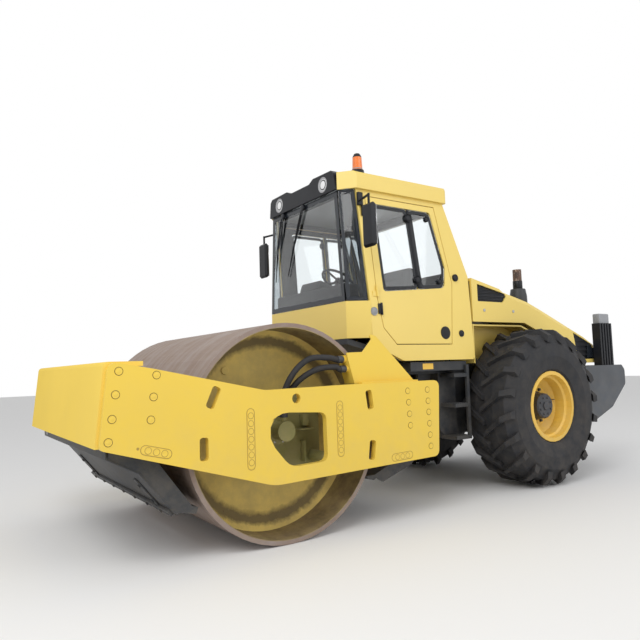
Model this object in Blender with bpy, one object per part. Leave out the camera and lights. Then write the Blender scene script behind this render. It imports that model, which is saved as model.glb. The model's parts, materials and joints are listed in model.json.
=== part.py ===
# Articulated single drum roller: smooth drum in a bolted front frame, cab and engine on the rear frame.
# Metres, +Z up, drum end towards -Y, left side of the machine towards +X, floor at z = 0.
# Lengthwise places are stations, measured rearwards from the drum's axis.

import math

import bmesh
import bpy
from mathutils import Matrix, Vector

for leftover in list(bpy.data.objects):
    bpy.data.objects.remove(leftover, do_unlink=True)

# Overall
front_reach = 1.392
rear_reach = 4.86
wheelbase = 3.10
gap = 0.0003
drum_facets = 60

# Drum
drum_radius = 0.80
drum_side_clearance = 0.075
drum_wall = 0.035
drum_recess = 0.36
head_thickness = 0.03
head_ring_depth = 0.05
head_ring_width = 0.06

# Front frame
frame_half_width = 1.19
plate_thickness = 0.05
beam_wall = 0.03
front_beam_depth = 0.24
beam_lean = 0.054
beam_top = 1.335
beam_bottom = 0.815
pivot_station = 1.60
pivot_pin_radius = 0.055
steer_gap = 0.0012

# Wheels
tyre_radius = 0.80
tyre_centre = 0.86
bead_radius = 0.335
lug_height = 0.040
lug_count = 20
hub_radius = 0.15
disc_place = 0.02
disc_thickness = 0.03
disc_bore = 0.10

# Rear frame
chassis_half_width = 0.50
chassis_wall = 0.03
chassis_front_station = 1.83
chassis_bottom = 0.55
chassis_top = 1.26

# Cab
cab_base_half = 0.79
cab_lean = 0.052
cab_floor_low = 1.30
cab_floor_thickness = 0.05
cab_wall = 0.05
cab_front_station = 0.856
cab_sill = 1.84
corner_inset_low = 0.13
corner_inset_high = 0.203
cab_eaves = 2.86
roof_top = 3.02
door_thickness = 0.04
glass_thickness = 0.008

colours = {
    # name: red, green, blue, roughness, metallic
    "frame_yellow": (0.80, 0.58, 0.11, 0.45, 0.0),
    "cab_yellow": (0.85, 0.66, 0.20, 0.40, 0.0),
    "drum_steel": (0.27, 0.20, 0.16, 0.70, 0.6),
    "drum_inside": (0.25, 0.21, 0.09, 0.80, 0.2),
    "dark_steel": (0.03, 0.033, 0.037, 0.60, 0.3),
    "grey_iron": (0.10, 0.11, 0.12, 0.55, 0.2),
    "black_plastic": (0.015, 0.016, 0.018, 0.50, 0.0),
    "tyre_rubber": (0.018, 0.018, 0.019, 0.85, 0.0),
    "rim_yellow": (0.82, 0.55, 0.08, 0.45, 0.0),
    "glass": (0.55, 0.63, 0.66, 0.08, 0.0),
    "lamp_lens": (0.80, 0.82, 0.84, 0.15, 0.0),
    "amber": (0.90, 0.22, 0.02, 0.25, 0.0),
    "hose_rubber": (0.02, 0.02, 0.022, 0.65, 0.0),
    "chrome": (0.70, 0.70, 0.72, 0.15, 1.0),
    "seat_vinyl": (0.04, 0.04, 0.045, 0.70, 0.0),
    "rust_pipe": (0.22, 0.11, 0.07, 0.85, 0.4),
}
shift = (rear_reach + front_reach) / 2 - rear_reach


def along(station):
    # Y coordinate of a place given by its distance behind the drum's axis
    return station + shift


def material(slot):
    if slot in bpy.data.materials:
        return bpy.data.materials[slot]
    red, green, blue, rough, metal = colours[slot]
    made = bpy.data.materials.new(slot)
    made.use_nodes = True
    shader = made.node_tree.nodes["Principled BSDF"]
    shader.inputs["Base Color"].default_value = (red, green, blue, 1)
    shader.inputs["Roughness"].default_value = rough
    shader.inputs["Metallic"].default_value = metal
    return made


def joint_axis(name, x, station, z):
    # Empty on a joint's axis, which the moving pieces hang from
    empty = bpy.data.objects.new(name, None)
    empty.location = (x, along(station), z)
    bpy.context.collection.objects.link(empty)
    return empty


def node(name, shape, slot, carrier=None, smooth=False):
    # Turns a bmesh, given in stations, into a named object carried by an empty
    offset = Vector(carrier.location) if carrier else Vector((0, 0, 0))
    bmesh.ops.translate(shape, vec=Vector((0, shift, 0)) - offset, verts=shape.verts)
    bmesh.ops.recalc_face_normals(shape, faces=shape.faces)
    mesh = bpy.data.meshes.new(name)
    shape.to_mesh(mesh)
    shape.free()
    mesh.materials.append(material(slot))
    if smooth:
        mesh.shade_smooth()
        mesh.set_sharp_from_angle(angle=math.radians(35))
    made = bpy.data.objects.new(name, mesh)
    made.parent = carrier
    bpy.context.collection.objects.link(made)
    return made


def modify(target, tools, operation):
    # Boolean with hidden wire shapes; each tool is a bmesh in the target's own carrier
    for count, tool in enumerate(tools):
        shape = node(f"{target.name}_{operation.lower()}_{count}", tool, "dark_steel", target.parent)
        shape.hide_render = True
        shape.display_type = "WIRE"
        change = target.modifiers.new(operation.lower(), "BOOLEAN")
        change.operation = operation
        change.solver = "EXACT"
        change.object = shape
    return target


def fuse(target, tools):
    return modify(target, tools, "UNION")


def carve(target, tools):
    return modify(target, tools, "DIFFERENCE")


def spot(axis, level, a, b):
    # A point of a plane drawing, at a level along the axis across it
    return {"X": (level, a, b), "Y": (a, level, b), "Z": (a, b, level)}[axis]


def rounded(corners, steps=3):
    # Outline from corners (a, b, radius), each rounded by an arc
    outline = []
    for i, (a, b, radius) in enumerate(corners):
        corner = Vector((a, b))
        before = (Vector(corners[i - 1][:2]) - corner).normalized()
        after = (Vector(corners[(i + 1) % len(corners)][:2]) - corner).normalized()
        if radius <= 0:
            outline.append(tuple(corner))
            continue
        half = before.angle(after) / 2
        centre = corner + (before + after).normalized() * radius / math.sin(half)
        first = corner + before * radius / math.tan(half) - centre
        last = corner + after * radius / math.tan(half) - centre
        turn = first.angle_signed(last)
        start = math.atan2(first.y, first.x)
        for k in range(steps + 1):
            angle = start - turn * k / steps
            outline.append((centre.x + radius * math.cos(angle), centre.y + radius * math.sin(angle)))
    return outline


def ring(a, b, radius, steps=12):
    return [(a + radius * math.cos(2 * math.pi * k / steps), b + radius * math.sin(2 * math.pi * k / steps))
            for k in range(steps)]


def slot_hole(a, b, length, width, tilt, radius):
    # Rounded rectangle, its long side turned by tilt from the b direction
    corners = [(-width / 2, -length / 2), (width / 2, -length / 2), (width / 2, length / 2),
               (-width / 2, length / 2)]
    turned_corners = []
    for u, v in corners:
        turned_corners.append((a + u * math.cos(tilt) - v * math.sin(tilt),
                               b + u * math.sin(tilt) + v * math.cos(tilt), radius))
    return rounded(turned_corners, 2)


def slab(outline, axis, low, high, holes=()):
    # Plate with holes: the outline and its holes filled, then extruded across
    shape = bmesh.new()
    for loop in [outline, *holes]:
        points = [shape.verts.new(spot(axis, low, a, b)) for a, b in loop]
        for i, point in enumerate(points):
            shape.edges.new((points[i - 1], point))
    bmesh.ops.triangle_fill(shape, use_beauty=True, edges=shape.edges)
    top = bmesh.ops.extrude_face_region(shape, geom=shape.faces[:])
    raised = [item for item in top["geom"] if isinstance(item, bmesh.types.BMVert)]
    bmesh.ops.translate(shape, vec=Vector(spot(axis, high - low, 0, 0)), verts=raised)
    bmesh.ops.recalc_face_normals(shape, faces=shape.faces)
    return shape


def block(x, y, z, edge=0.0, segments=1):
    # Box from ranges, its edges taken off or rounded
    shape = bmesh.new()
    bmesh.ops.create_cube(shape, size=1)
    size = Vector((x[1] - x[0], y[1] - y[0], z[1] - z[0]))
    middle = Vector(((x[0] + x[1]) / 2, (y[0] + y[1]) / 2, (z[0] + z[1]) / 2))
    bmesh.ops.transform(shape, matrix=Matrix.Translation(middle) @ Matrix.Diagonal((*size, 1)),
                        verts=shape.verts)
    if edge > 0:
        bmesh.ops.bevel(shape, geom=shape.edges[:], offset=edge, segments=segments, profile=0.5,
                        affect="EDGES")
    return shape


def turned(profile, axis, centre, steps=32, closed=True):
    # Spins a profile (along, radius) a full turn; a profile that ends on the axis gives a solid
    shape = bmesh.new()
    aside = {"X": (0, 0, 1), "Y": (0, 0, 1), "Z": (1, 0, 0)}[axis]
    forward = {"X": (1, 0, 0), "Y": (0, 1, 0), "Z": (0, 0, 1)}[axis]
    points = [shape.verts.new(Vector(centre) + Vector(forward) * a + Vector(aside) * r) for a, r in profile]
    edges = [shape.edges.new((points[i], points[i + 1])) for i in range(len(points) - 1)]
    if closed:
        edges.append(shape.edges.new((points[-1], points[0])))
    bmesh.ops.spin(shape, geom=points + edges, cent=centre, axis=forward, dvec=(0, 0, 0),
                   angle=2 * math.pi, steps=steps, use_merge=True)
    bmesh.ops.remove_doubles(shape, verts=shape.verts, dist=0.00001)
    bmesh.ops.dissolve_degenerate(shape, edges=shape.edges, dist=0.00001)
    bmesh.ops.recalc_face_normals(shape, faces=shape.faces)
    return shape


def rod(axis, low, high, centre, radius, steps=12):
    # Plain round bar; centre gives the two coordinates across the axis
    base = spot(axis, 0, *centre)
    return turned([(low, 0), (low, radius), (high, radius), (high, 0)], axis, base, steps, closed=False)


def tube(name, route, diameter, slot, carrier, sides=2):
    # Round hose through points of a smooth curve, with filled ends
    curve = bpy.data.curves.new(name, "CURVE")
    curve.dimensions = "3D"
    curve.bevel_depth = diameter / 2
    curve.bevel_resolution = sides
    curve.use_fill_caps = True
    curve.render_resolution_u = 0
    line = curve.splines.new("POLY")
    points = smooth_route(route)
    offset = Vector(carrier.location) if carrier else Vector((0, 0, 0))
    line.points.add(len(points) - 1)
    for spline_point, place in zip(line.points, points):
        spline_point.co = (*(place + Vector((0, shift, 0)) - offset), 1)
    curve.materials.append(material(slot))
    made = bpy.data.objects.new(name, curve)
    made.parent = carrier
    bpy.context.collection.objects.link(made)
    return made


def smooth_route(route, between=3):
    # Catmull-Rom curve through a short list of points
    knots = [Vector(p) for p in route]
    knots = [2 * knots[0] - knots[1], *knots, 2 * knots[-1] - knots[-2]]
    points = []
    for i in range(1, len(knots) - 2):
        before, start, end, after = knots[i - 1:i + 3]
        for k in range(between):
            t = k / between
            points.append(0.5 * (2 * start + (end - before) * t + (2 * before - 5 * start + 4 * end - after) * t * t
                                 + (3 * start - before - 3 * end + after) * t ** 3))
    points.append(knots[-2])
    return points


def mirrored(shape, side):
    # The same shape on the other side of the machine
    if side < 0:
        bmesh.ops.scale(shape, vec=(-1, 1, 1), verts=shape.verts)
        bmesh.ops.reverse_faces(shape, faces=shape.faces)
    return shape


sides = (("left", 1), ("right", -1))


# Joint axes, and the empties that the moving bodies hang from
front_carrier = joint_axis("front_frame_axis", 0, pivot_station, drum_radius)
drum_carrier = joint_axis("drum_axis", 0, 0, drum_radius)
plate_inside = frame_half_width - plate_thickness
drum_end = plate_inside - drum_side_clearance
head_face = drum_end - drum_recess

# Side plate outline: station, height, corner radius
plate_corners = [
    (-1.322, 1.337, 0.05), (-1.05, 1.285, 0.10), (-0.26, 1.115, 0.25), (0.46, 1.125, 0.20),
    (1.42, 1.125, 0.05), (1.385, 0.495, 0.05), (-0.20, 0.455, 0.35), (-1.378, 0.812, 0.03),
]
# Rounded slots: station, height, tilt in degrees
plate_slots = [(-0.65, 1.085, -24), (-0.72, 0.755, 0), (0.66, 1.00, 8), (0.67, 0.612, -8)]
slot_length = 0.15
slot_width = 0.062
window_corners = [
    (-0.285, 0.82, 0.16), (-0.16, 0.955, 0.18), (0.245, 0.93, 0.05), (0.25, 0.575, 0.05),
    (-0.07, 0.565, 0.14),
]


def plate_holes():
    holes = [slot_hole(y, z, slot_length, slot_width, math.radians(tilt), 0.018) for y, z,
             tilt in plate_slots]
    holes.append(ring(-0.01, 1.045, 0.036))
    holes.append(rounded(window_corners))
    return holes


# Weld slots filled proud of the plate: station, height
weld_slots = [(-0.38, 0.79), (0.37, 0.80)]
weld_length = 0.40
weld_width = 0.05
weld_height = 0.0025
weld_disc_count = 7
weld_disc_radius = 0.019
weld_disc_pitch = 0.0525
weld_disc_height = 0.004


def side_plate(name, side):
    shape = slab(rounded(plate_corners), "X", plate_inside, frame_half_width, plate_holes())
    plate = node(f"side_plate_{name}", mirrored(shape, side), "frame_yellow", front_carrier)
    welds = []
    for y, z in weld_slots:
        pad = slot_hole(y, z, weld_length, weld_width, 0, weld_width * 0.45)
        welds.append(slab(pad, "X", frame_half_width - weld_height, frame_half_width + weld_height))
        for k in range(weld_disc_count):
            height = z + (k - (weld_disc_count - 1) / 2) * weld_disc_pitch
            welds.append(slab(ring(y, height, weld_disc_radius, 8), "X", frame_half_width - weld_height,
                              frame_half_width + weld_disc_height))
    fuse(plate, [mirrored(piece, side) for piece in hose_bracket() + welds])


def beam_station(z):
    # The front beam's face leans forward towards its foot
    return -front_reach + beam_lean * (z - beam_bottom) / (beam_top - beam_bottom)


def front_beam():
    # Folded channel between the plates, open towards the drum
    low, high = beam_bottom, beam_top
    corners = [
        (beam_station(low) + front_beam_depth, low, 0), (beam_station(low), low, 0),
        (beam_station(high), high, 0.03), (beam_station(high) + front_beam_depth, high, 0),
        (beam_station(high) + front_beam_depth, high - beam_wall, 0),
        (beam_station(high) + beam_wall, high - beam_wall, 0.015),
        (beam_station(low) + beam_wall, low + beam_wall, 0.015),
        (beam_station(low) + front_beam_depth, low + beam_wall, 0),
    ]
    half = plate_inside - gap
    node("front_beam", slab(rounded(corners), "X", -half, half), "frame_yellow", front_carrier)


# Rear beam of the front frame with the lugs that hold the pivot pin
rear_beam_front = 1.09
rear_beam_rear = 1.37
rear_beam_low = 0.54
rear_beam_high = 1.09
lug_half_width = 0.17
lug_thickness = 0.06
lug_reach = 0.12
tongue_low = 0.66
tongue_high = 0.94


def lug_outline(half, base, centre, reach, steps=10):
    # Plate with a round nose about the pin
    nose = [(half * math.cos(math.pi * k / steps), centre + reach * math.sin(math.pi * k / steps))
            for k in range(steps + 1)]
    return [(-half, base), (half, base), *nose]


# The ears of the rods stand clear of the barrels, which come between them at full lock
ear_place = 0.049


def rear_beam():
    half = plate_inside - gap
    corners = [
        (rear_beam_front, rear_beam_low, 0), (rear_beam_rear, rear_beam_low, 0.03),
        (rear_beam_rear, rear_beam_high, 0.03), (rear_beam_front, rear_beam_high, 0),
        (rear_beam_front, rear_beam_high - beam_wall, 0),
        (rear_beam_rear - beam_wall, rear_beam_high - beam_wall, 0),
        (rear_beam_rear - beam_wall, rear_beam_low + beam_wall, 0),
        (rear_beam_front, rear_beam_low + beam_wall, 0),
    ]
    beam = node("rear_beam", slab(rounded(corners), "X", -half, half), "frame_yellow", front_carrier)
    lugs = []
    for low in (tongue_low - 0.006 - lug_thickness, tongue_high + 0.006):
        outline = lug_outline(lug_half_width, rear_beam_rear - beam_wall / 2, pivot_station, lug_reach)
        lugs.append(slab(outline, "Z", low, low + lug_thickness))
    for side in (1, -1):
        for low in (cylinder_height - ear_place - 0.025, cylinder_height + ear_place):
            ear = lug_outline(0.055, rear_beam_rear - beam_wall / 2, rod_pin_station, 0.055)
            ear = [(x + side * rod_pin_x, y) for x, y in ear]
            lugs.append(slab(ear, "Z", low, low + 0.025))
    fuse(beam, lugs)
    pin = rod("Z", tongue_low - 0.10, tongue_high + 0.10, (0, pivot_station), pivot_pin_radius, 16)
    fuse(beam, [pin])


# Steering cylinders: pin places, height and sizes
rod_pin_x = 0.40
rod_pin_station = 1.475
barrel_pin_x = 0.30
barrel_pin_station = 2.30
cylinder_height = 0.80
cylinder_eye = 0.07
barrel_radius = 0.044
rod_radius = 0.025
barrel_start = 0.062
barrel_length = 0.548
barrel_bottom = 0.013
eye_radius = 0.05
rod_travel = 0.227
cylinder_pin_radius = 0.021


def steering_cylinder(name, side):
    start = Vector((side * barrel_pin_x, barrel_pin_station, cylinder_height))
    end = Vector((side * rod_pin_x, rod_pin_station, cylinder_height))
    line = end - start
    length = line.length
    turn = Matrix.Rotation(math.atan2(line.y, line.x), 4, "Z")
    place = Matrix.Translation(start) @ turn
    barrel_axis = joint_axis(f"barrel_axis_{name}", start.x, start.y, start.z)
    tube_shape = turned([(barrel_start, rod_radius + gap), (barrel_start, barrel_radius),
                         (barrel_length, barrel_radius),
                         (barrel_length, rod_radius + gap)], "X", (0, 0, 0), 12)
    tube_shape.transform(place)
    barrel = node(f"cylinder_barrel_{name}", tube_shape, "black_plastic", barrel_axis, True)
    eye = slab(ring(0, 0, eye_radius), "Z", -cylinder_eye / 2, cylinder_eye / 2,
               [ring(0, 0, cylinder_pin_radius + steer_gap)])
    plug = rod("X", 0.035, barrel_start + barrel_bottom, (0, 0), rod_radius + 0.005)
    eye.transform(place)
    plug.transform(place)
    fuse(barrel, [plug, eye])
    rod_start = barrel_start + barrel_bottom + rod_travel + 0.003
    rod_shape = rod("X", rod_start, length - eye_radius + 0.02, (0, 0), rod_radius)
    rod_shape.transform(place)
    piston = node(f"cylinder_rod_{name}", rod_shape, "chrome", barrel_axis, True)
    rod_eye = slab(ring(length, 0, eye_radius), "Z", -cylinder_eye / 2, cylinder_eye / 2,
                   [ring(length, 0, cylinder_pin_radius + steer_gap)])
    rod_eye.transform(place)
    fuse(piston, [rod_eye])


# Drum, open ended with deep set heads
def drum():
    inside = drum_radius - drum_wall
    centre = (0, 0, drum_radius)
    shell = turned([(-drum_end, inside), (-drum_end, drum_radius), (drum_end, drum_radius),
                    (drum_end, inside)],
                   "X", centre, drum_facets)
    node("drum_shell", shell, "drum_steel", drum_carrier, True)
    for name, side in sides:
        ring_out = inside - gap
        profile = [
            (head_face - head_thickness, 0), (head_face - head_thickness, ring_out),
            (head_face + head_ring_depth, ring_out),
            (head_face + 0.015, ring_out - head_ring_width), (head_face, ring_out - head_ring_width - 0.05),
            (head_face, shaft_radius), (head_face + shaft_reach, shaft_radius),
            (head_face + shaft_reach, 0),
        ]
        shape = turned(profile, "X", centre, drum_facets, closed=False)
        node(f"drum_head_{name}", mirrored(shape, side), "drum_inside", drum_carrier, True)


# Carrier between side plate and drum: bolted plate, buffers and drive motor
carrier_plate_in = head_face + 0.095
carrier_plate_thickness = 0.03
buffer_radius = 0.05
motor_radius = 0.11
motor_glands = (carrier_plate_in + 0.192, carrier_plate_in + 0.136)
motor_gland_top = 0.90
shaft_radius = 0.12
shaft_reach = 0.05


def drum_support(name, side):
    low = carrier_plate_in
    high = low + carrier_plate_thickness
    centre = (0, 0, drum_radius)
    outline = rounded([(-0.375, 0.495, 0.10), (0.415, 0.495, 0.10), (0.415, 1.075, 0.10),
                       (-0.375, 1.075, 0.10)])
    plate = node(f"drum_carrier_{name}", mirrored(slab(outline, "X", low, high), side), "drum_inside",
                 front_carrier)
    pieces = []
    for y, z in ((-0.31, 0.60), (-0.31, 1.01), (0.35, 0.57), (0.35, 1.01)):
        pieces.append(rod("X", high - 0.005, plate_inside - gap, (y, z), buffer_radius))
    # Bearing cup round the drum's stub shaft
    start = head_face + 0.012
    bottom = head_face + shaft_reach + 0.002
    bore = shaft_radius + 0.002
    pieces.append(turned([(low + 0.01, 0), (low + 0.01, bore + 0.05), (low - 0.02, bore + 0.05),
                          (start, bore + 0.035),
                          (start, bore), (bottom, bore), (bottom, 0)], "X", centre, 20, closed=False))
    pieces.append(turned([(high - 0.01, 0), (high - 0.01, motor_radius), (high + 0.07, motor_radius),
                          (high + 0.09, 0.075),
                          (high + 0.20, 0.075), (high + 0.20, 0)], "X", centre, 16, closed=False))
    pieces += [rod("Z", drum_radius + 0.05, motor_gland_top, (x, 0), gland_radius) for x in motor_glands]
    fuse(plate, [mirrored(piece, side) for piece in pieces])


# Bracket on top of each side plate that leads the hoses to the drum
bracket_out = frame_half_width - 0.065
bracket_thickness = 0.012
bracket_foot = 1.125
bracket_hose_x = bracket_out - 0.05
bracket_glands = [(0.495, 1.32), (0.518, 1.245)]
gland_length = 0.026
gland_radius = 0.026


def hose_bracket():
    top = bracket_foot
    corners = [(0.57, top, 0), (0.50, 1.37, 0), (0.66, 1.375, 0), (0.755, 1.475, 0.01),
               (0.715, 1.525, 0.012),
               (0.80, 1.50, 0), (1.20, top, 0)]
    web = slab(rounded(corners), "X", bracket_out - bracket_thickness, bracket_out)
    foot = block((bracket_out - 0.05, frame_half_width - 0.012), (0.60, 1.19), (top - 0.004, top + 0.012))
    lean = math.atan2(0.07, 0.245)
    flange = block((bracket_out - 0.13, bracket_out), (-0.006, 0.006), (0.005, 0.235))
    flange.transform(Matrix.Translation((0, 0.575, top)) @ Matrix.Rotation(lean, 4, "X"))
    glands = [rod("Y", start + gap, start + gland_length, (bracket_hose_x, z), gland_radius)
              for start, z in bracket_glands]
    return [web, foot, flange, *glands]


# Hoses between glands: name, then route points (share of the way across to the motor's gland, station, z)
hose_diameter = 0.046
hose_routes = {
    "hose_upper": [(0.024, 0.36, 1.335), (0.157, 0.20, 1.33), (0.482, 0.08, 1.24), (0.904, 0.01, 1.10)],
    "hose_lower": [(0.014, 0.42, 1.262), (0.094, 0.27, 1.25), (0.396, 0.14, 1.18), (0.863, 0.05, 1.06)],
}


def hoses():
    top = motor_gland_top + 2 * gap
    for (name, middle), (start, z), x in zip(hose_routes.items(), bracket_glands, motor_glands):
        route = [(bracket_hose_x, start - away, z) for away in (0, 0.025, 0.06)]
        route += [(bracket_hose_x + (x - bracket_hose_x) * share, y, height) for share, y, height in middle]
        route += [(x, 0, top + above) for above in (0.06, 0.025, 0)]
        tube(name, route, hose_diameter, "hose_rubber", front_carrier)


# Scrapers that clean the drum at its front and rear foot
scraper_half = drum_end - 0.035


def scrapers():
    outline = [(-1.30, beam_bottom - gap), (-1.12, beam_bottom - gap), (-1.12, 0.79), (-1.00, 0.72),
               (-0.745, 0.375),
               (-0.70, 0.36), (-0.715, 0.32), (-0.80, 0.335), (-1.02, 0.63), (-1.14, 0.73), (-1.30, 0.78)]
    front = node("front_scraper", slab(outline, "X", -scraper_half, scraper_half), "dark_steel",
                 front_carrier)
    ribs = []
    deep = [(-1.28, 0.80), (-1.13, 0.735), (-1.01, 0.635), (-0.80, 0.34), (-0.85, 0.34), (-1.09, 0.63), (-1.29, 0.74)]
    shallow = [(-1.28, 0.80), (-1.13, 0.735), (-1.01, 0.635), (-0.80, 0.34), (-0.828, 0.32), (-1.05, 0.612),
               (-1.17, 0.705), (-1.29, 0.755)]
    for x, rib in ((-scraper_half, deep), (-0.40, shallow), (0.38, shallow), (scraper_half - 0.02, deep)):
        ribs.append(slab(rib, "X", x, x + 0.02))
    fuse(front, ribs)
    outline = [(1.12, rear_beam_low - gap), (1.36, rear_beam_low - gap), (1.36, 0.51), (1.17, 0.49),
               (0.80, 0.345), (0.74, 0.36),
               (0.725, 0.385), (0.81, 0.385), (1.12, 0.51)]
    rear = node("rear_scraper", slab(outline, "X", -scraper_half, scraper_half), "dark_steel",
                front_carrier)
    ribs = []
    for x in (-scraper_half, -0.35, 0.33, scraper_half - 0.02):
        ribs.append(slab([(1.34, 0.52), (1.17, 0.50), (0.82, 0.36), (0.90, 0.32), (1.20, 0.42)], "X", x,
                         x + 0.02))
    fuse(rear, ribs)


for name, side in sides:
    side_plate(name, side)
front_beam()
rear_beam()
drum()
for name, side in sides:
    drum_support(name, side)
    steering_cylinder(name, side)
hoses()
scrapers()


# Wheels: rim with its hub, and a lugged tyre
tread_radius = tyre_radius - lug_height
wheel_axes = {name: joint_axis(f"wheel_axis_{name}", side * tyre_centre, wheelbase, tyre_radius) for name,
              side in sides}
# Tyre section from bead to bead: distance from the middle, radius
bead_place = 0.235
tyre_facets = 30
tyre_section = [(bead_place, bead_radius), (bead_place, bead_radius + 0.024),
                (bead_place + 0.029, bead_radius + 0.045),
                (0.2935, 0.51), (0.284, 0.63), (0.225, 0.737), (0.10, tread_radius - 0.002)]


def tyre(name, side):
    centre = (side * tyre_centre, wheelbase, tyre_radius)
    profile = tyre_section + [(-a, r) for a, r in reversed(tyre_section)]
    carcass = turned(profile, "X", centre, tyre_facets)
    made = node(f"tyre_{name}", carcass, "tyre_rubber", wheel_axes[name], True)
    fuse(made, [lugs(centre, side)])


def lugs(centre, side):
    # Both rows of bars, half a pitch apart; each bar leans back from the middle to the shoulder
    shape = bmesh.new()
    pitch = 2 * math.pi / lug_count
    # Along a bar: distance from the middle, top radius, lag as a share of the pitch, half width of top
    stages = [(-0.015, tyre_radius, 0.00, 0.022), (0.21, tyre_radius - 0.006, 0.66, 0.027),
              (0.292, tyre_radius - 0.075, 0.80, 0.030)]
    for row in (1, -1):
        for k in range(lug_count):
            start = (k + (0.5 if row < 0 else 0)) * pitch
            rings = []
            for away, top, lag, half in stages:
                angle = start + lag * pitch
                section = []
                for spread, radius in ((-1, top), (1, top), (1.5, top - lug_height - 0.03),
                                       (-1.5, top - lug_height - 0.03)):
                    a = angle + spread * half / top
                    section.append(shape.verts.new((centre[0] + row * away,
                                                    centre[1] - radius * math.cos(a),
                                                    centre[2] + radius * math.sin(a))))
                rings.append(section)
            for first, second in zip(rings, rings[1:]):
                for i in range(4):
                    shape.faces.new((first[i - 1], first[i], second[i], second[i - 1]))
            shape.faces.new(rings[0])
            shape.faces.new(rings[-1])
    bmesh.ops.recalc_face_normals(shape, faces=shape.faces)
    return shape


def rim(name, side):
    centre = (side * tyre_centre, wheelbase, tyre_radius)
    seat = bead_radius - gap
    flange = bead_place + gap
    lip = bead_radius + 0.022
    back = disc_place - disc_thickness
    # Outer side first: lip, stepped barrel, disc set deep inside, then the back of the barrel to the inner lip
    profile = [
        (flange, seat), (flange, lip), (flange + 0.013, lip), (flange + 0.017, seat - 0.016),
        (0.195, seat - 0.024),
        (0.180, seat - 0.044), (0.08, seat - 0.050), (disc_place + 0.01, 0.225),
        (disc_place, hub_radius + 0.02), (disc_place, disc_bore),
        (back, disc_bore), (back, 0.235), (-0.12, seat - 0.045), (-flange - 0.013, seat - 0.020),
        (-flange - 0.013, lip), (-flange, lip), (-flange, seat),
    ]
    shape = turned([(side * a, r) for a, r in profile], "X", centre, tyre_facets)
    node(f"rim_{name}", shape, "rim_yellow", wheel_axes[name], True)


def hub(name, side):
    # Planetary hub bolted on the disc
    start = disc_place + gap
    profile = [(start, 0), (start, hub_radius), (start + 0.03, hub_radius),
               (start + 0.035, hub_radius - 0.012),
               (start + 0.13, hub_radius - 0.02), (start + 0.145, hub_radius - 0.035), (start + 0.145, 0)]
    shape = turned([(side * a, r) for a, r in profile], "X",
                   (side * tyre_centre, wheelbase, tyre_radius), 16, closed=False)
    node(f"hub_{name}", shape, "dark_steel", wheel_axes[name], True)


for name, side in sides:
    tyre(name, side)
    rim(name, side)
    hub(name, side)


# Rear frame: two side plates with cross plates, the tongue on the pivot pin and the cylinders' rear ears
axle_pad = 1.00
tongue_half_width = 0.15
chassis_rear_station = 4.05


def chassis():
    inner = chassis_half_width - chassis_wall
    low, high = chassis_bottom, chassis_top
    outline = rounded([
        (chassis_front_station, low + 0.05, 0.03), (2.00, low, 0.05), (2.80, low, 0.05),
        (2.87, axle_pad, 0.05),
        (wheelbase + 0.23, axle_pad, 0.05), (wheelbase + 0.30, low + 0.05, 0.05),
        (chassis_rear_station, low + 0.05, 0),
        (chassis_rear_station, high, 0), (chassis_front_station, high, 0.03),
    ])
    body = node("chassis", slab(outline, "X", inner, chassis_half_width), "dark_steel")
    top = block((-inner - 0.005, inner + 0.005), (chassis_front_station + 0.02, 2.62),
                (high - 0.04, high - 0.01))
    other = slab(outline, "X", -chassis_half_width, -inner)
    floor_plate = block((-inner - 0.005, inner + 0.005), (2.03, 2.76), (low, low + 0.03))
    cross = block((-inner - 0.005, inner + 0.005), (2.40, 2.44), (low + 0.01, high - 0.02))
    rear = block((-inner - 0.005, inner + 0.005), (chassis_rear_station - 0.04, chassis_rear_station),
                 (low + 0.06, high))
    tongue_plan = [(x, 2 * pivot_station - y) for x, y in
                   lug_outline(tongue_half_width, 2 * pivot_station - 2.42, pivot_station, lug_reach)]
    tongue = slab(tongue_plan, "Z", tongue_low, tongue_high,
                  [ring(0, pivot_station, pivot_pin_radius + steer_gap, 20)])
    pieces = [other, top, floor_plate, cross, rear, tongue]
    for side in (1, -1):
        for base in (cylinder_height - cylinder_eye / 2 - 0.003 - 0.025,
                     cylinder_height + cylinder_eye / 2 + 0.003):
            ear = [(side * (barrel_pin_x + x), 2 * barrel_pin_station - y) for x, y in
                   lug_outline(0.055, 2 * barrel_pin_station - 2.42, barrel_pin_station, 0.055)]
            pieces.append(slab(ear, "Z", base, base + 0.025))
        pieces.append(rod("Z", cylinder_height - 0.06, cylinder_height + 0.06,
                          (side * barrel_pin_x, barrel_pin_station), cylinder_pin_radius))
    fuse(body, pieces)


axle_end_gap = 0.004


def axle():
    shoulder = tyre_centre + disc_place - disc_thickness - axle_end_gap
    end = tyre_centre + disc_place - axle_end_gap
    spigot = disc_bore - 0.0015
    half = [(0, 0.21), (0.10, 0.20), (0.20, 0.13), (0.58, 0.115), (0.60, 0.17), (shoulder - 0.09, 0.17),
            (shoulder - 0.07, 0.12), (shoulder, 0.12), (shoulder, spigot), (end, spigot), (end, 0)]
    profile = [(-a, r) for a, r in reversed(half[1:])] + half
    beam = node("axle", turned(profile, "X", (0, wheelbase, tyre_radius), 12, closed=False), "dark_steel",
                None, True)
    pads = [block((side * 0.485 - 0.06, side * 0.485 + 0.06), (wheelbase - 0.14, wheelbase + 0.14),
                  (tyre_radius + 0.05, axle_pad - gap)) for side in (1, -1)]
    fuse(beam, pads)


# Counterweight and the ribbed lamp posts on it
hood_half = 0.75
post_inner = hood_half + 0.02
post_outer = post_inner + 0.10
weight_half = post_outer + 0.03
weight_top = 1.19


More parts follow.
